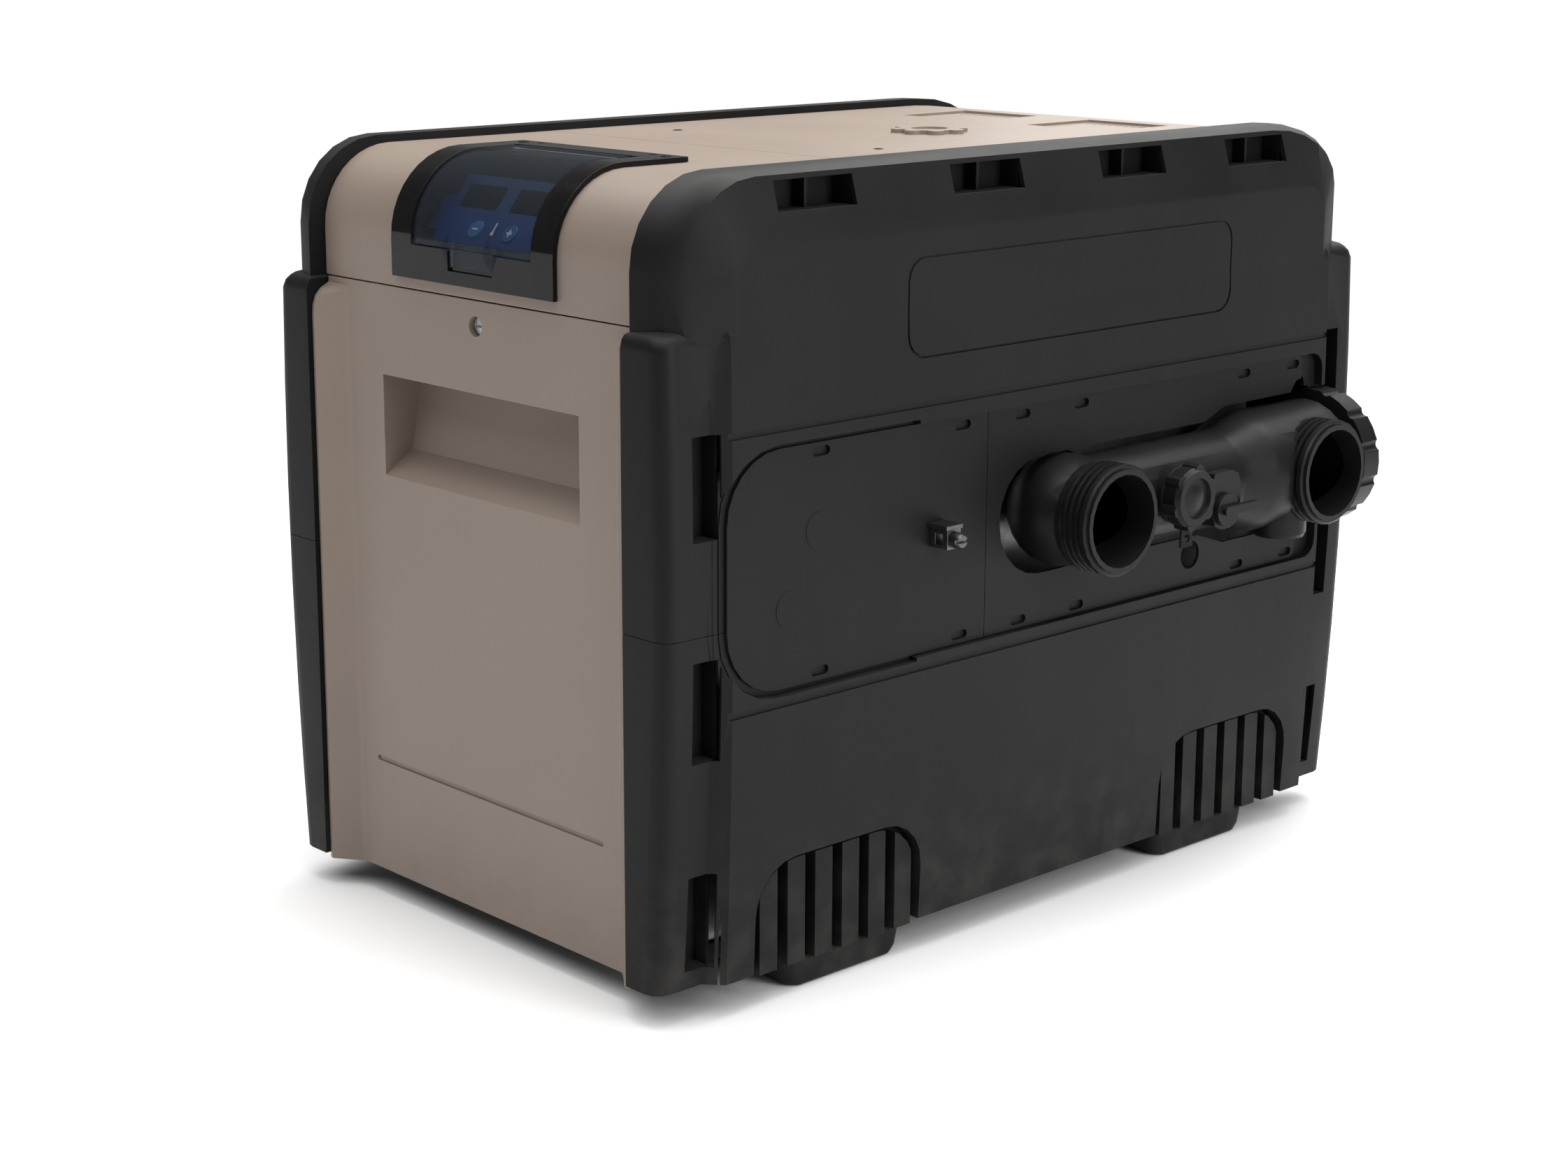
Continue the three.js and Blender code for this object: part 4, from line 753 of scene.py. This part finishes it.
@dataclass
class Fasteners:
    """The small round screws that hold the control bezel and the top panel."""

    radius: float = 4.2

    def build(self, shop: Workshop) -> None:
        """Seats each screw on the face it holds."""
        _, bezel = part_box("control_bezel")
        panel_low, panel_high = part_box("top_panel")
        middle = (panel_low.x + panel_high.x) / 2
        for index, across in enumerate((-82.0, 82.0)):
            seat = Vector((middle + across * MM, BEZEL_SCREW_Y, bezel.z))
            self._screw(shop, f"bezel_screw_{index + 1}", seat, 0.5)
        for index, (x, y) in enumerate(((-122.0, -64.0), (110.0, -67.0))):
            seat = Vector((middle + x * MM, y * MM, PANEL_TOP))
            self._screw(shop, f"panel_screw_{index + 1}", seat, 0.4)

    def _screw(self, shop: Workshop, name: str, seat: Vector, proud: float) -> None:
        """Makes one low domed screw with a socket."""
        mesh = bmesh.new()
        r = self.radius * MM
        ring = [(r, -0.3), (r, proud * 0.4), (r * 0.8, proud), (r * 0.42, proud), (r * 0.36, proud - 0.45),
                (0.0, proud - 0.45)]
        points = [mesh.verts.new((x, 0.0, z * MM)) for x, z in ring]
        edges = [mesh.edges.new(pair) for pair in zip(points, points[1:])]
        bmesh.ops.spin(
            mesh, geom=points + edges, cent=(0, 0, 0), axis=(0, 0, 1), angle=2 * math.pi, steps=28,
            use_merge=True, use_duplicate=False)
        bmesh.ops.remove_doubles(mesh, verts=mesh.verts, dist=1e-6)
        bmesh.ops.translate(mesh, verts=mesh.verts, vec=seat)
        bmesh.ops.recalc_face_normals(mesh, faces=mesh.faces)
        smooth_by_angle(mesh, 40.0)
        shop.piece(name, mesh, "cabinet", Finish.gloss_black)


@dataclass
class Studio:
    """The camera, the pale floor and the soft lights."""

    eye: Vector
    turn: float = math.radians(47.764)
    dip: float = math.radians(13.013)
    lens: float = 62.479
    shift: tuple[float, float] = (0.03204, -0.02824)

    def build(self) -> None:
        """Sets up everything that isn't the heater."""
        self._camera()
        self._floor()
        self._world()
        self._lights()

    def _camera(self) -> None:
        """Places the camera."""
        data = bpy.data.cameras.new("camera")
        data.lens = self.lens
        data.sensor_width = 36.0
        data.shift_x, data.shift_y = self.shift
        data.clip_end = 50.0
        made = bpy.data.objects.new("camera", data)
        made.location = self.eye
        made.rotation_euler = (math.pi / 2 - self.dip, 0.0, self.turn)
        bpy.context.scene.collection.objects.link(made)
        bpy.context.scene.camera = made

    def _floor(self) -> None:
        """Lays the floor."""
        mesh = bmesh.new()
        bmesh.ops.create_grid(mesh, x_segments=1, y_segments=1, size=14.0)
        bmesh.ops.translate(mesh, verts=mesh.verts, vec=(0, 0, -0.0004))
        data = bpy.data.meshes.new("studio_floor")
        mesh.to_mesh(data)
        mesh.free()
        made = bpy.data.objects.new("studio_floor", data)
        recipe = Recipe("pale_floor")
        cloud = recipe.noise(1.2, 3.0)
        recipe.surface(
            Base_Color=recipe.blend(cloud, (0.93, 0.93, 0.93), (0.96, 0.96, 0.96)), Roughness=0.85)
        data.materials.append(recipe.material)
        bpy.context.scene.collection.objects.link(made)

    def _world(self) -> None:
        """Shows a white backdrop, and fills the room with a dimmer grey that the gloss reflects."""
        world = bpy.data.worlds.new("white_room")
        world.use_nodes = True
        tree = world.node_tree
        background = tree.nodes["Background"]
        background.inputs["Color"].default_value = (1.0, 1.0, 1.0, 1.0)
        path = tree.nodes.new("ShaderNodeLightPath")
        level = tree.nodes.new("ShaderNodeMapRange")
        level.inputs["To Min"].default_value = 0.15
        level.inputs["To Max"].default_value = 1.2
        tree.links.new(path.outputs["Is Camera Ray"], level.inputs["Value"])
        tree.links.new(level.outputs["Result"], background.inputs["Strength"])
        bpy.context.scene.world = world
        bpy.context.scene.view_settings.view_transform = "Standard"

    def _lights(self) -> None:
        """Hangs the soft boxes and one wide even light from above."""
        self._soft_box("overhead", (0.0, 0.35, 1.35), (0.0, 0.35, 0.0), (1.1, 1.9), 21.0)
        self._soft_box("right", (3.2, 0.3, 1.3), (0.0, 0.0, 0.3), (1.2, 2.2), 58.0)
        self._soft_box("behind", (-1.2, 3.0, 1.6), (0.0, 0.0, 0.4), (2.4, 1.6), 16.0)
        even = bpy.data.lights.new("even", "SUN")
        even.energy = 3.05
        even.angle = math.radians(100.0)
        made = bpy.data.objects.new("even", even)
        made.location = (0.0, 0.0, 3.0)
        bpy.context.scene.collection.objects.link(made)

    @staticmethod
    def _soft_box(
        name: str, place: Sequence[float], aim: Sequence[float], size: tuple[float, float], power: float
    ) -> None:
        """Hangs one rectangular light aimed at a point."""
        data = bpy.data.lights.new(name, "AREA")
        data.shape = "RECTANGLE"
        data.size, data.size_y = size
        data.energy = power
        made = bpy.data.objects.new(name, data)
        made.location = place
        made.rotation_euler = (Vector(aim) - Vector(place)).to_track_quat("-Z", "Y").to_euler()
        bpy.context.scene.collection.objects.link(made)


SHELL = Softened("shell", {
    "upper_side_right": 2.2, "lower_side_right": 2.2, "upper_side_left": 2.2, "lower_side_left": 2.2,
    "front_door": 1.6, "hood": 1.0, "top_panel": 0.8, "rear_panel": 1.0, "base_pan": 0.8,
    "front_skid": 3.0, "rear_skid": 3.0, "junction_cover": 0.7, "header_cover": 0.7, "left_cover": 0.7,
})
HEADER = Softened("water header", {
    "header_body": 0.8, "header_end_nut": 1.2, "header_end_plug": 0.8, "drain_cap": 1.2,
    "cap_strap": 0.5, "wing_plug": 1.0, "bypass_poppet": 0.6, "bypass_seat": 0.5, "header_end_seal": 0.3,
    "bonding_lug": 0.6, "bonding_screw": 0.4, "door_lock_screw": 0.3,
})
POD = Softened("control pod", {
    "control_bezel": 0.8, "display_panel": 0.4, "minus_button": 0.8, "plus_button": 0.8,
    "display_lid": 0.5, "display_board": 0.3, "lid_hinge_pin": 0.2,
})
INSIDE = Softened("inside", {
    "cabinet_frame": 0.3, "equipment_panel": 0.3, "control_board": 0.3, "transformer": 0.8,
    "pressure_switch": 1.0, "inlet_outlet_box": 1.5, "return_box": 1.5, "tube_bundle": 0.3,
    "combustion_chamber": 0.8, "burner_drum": 1.0, "igniter": 0.4, "flue_collector": 0.8,
    "blower_housing": 1.0, "blower_wheel": 0.3, "blower_motor": 1.5, "gas_valve": 1.5,
    "gas_valve_knob": 1.0, "gas_pipe": 0.5, "gas_feed_tube": 0.5,
})


def main() -> None:
    """Builds the looks in order."""
    logging.basicConfig(level=logging.INFO)
    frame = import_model()
    shop = Workshop(frame)
    low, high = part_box("base_pan")
    cabinet_x = (low.x + high.x) / 2
    Studio(Vector((cabinet_x + 1.55158, -1.522, 0.760))).build()
    for group in (SHELL, HEADER, POD, INSIDE, PodGraphics(), Fasteners()):
        group.build(shop)


if __name__ == "__main__":
    main()
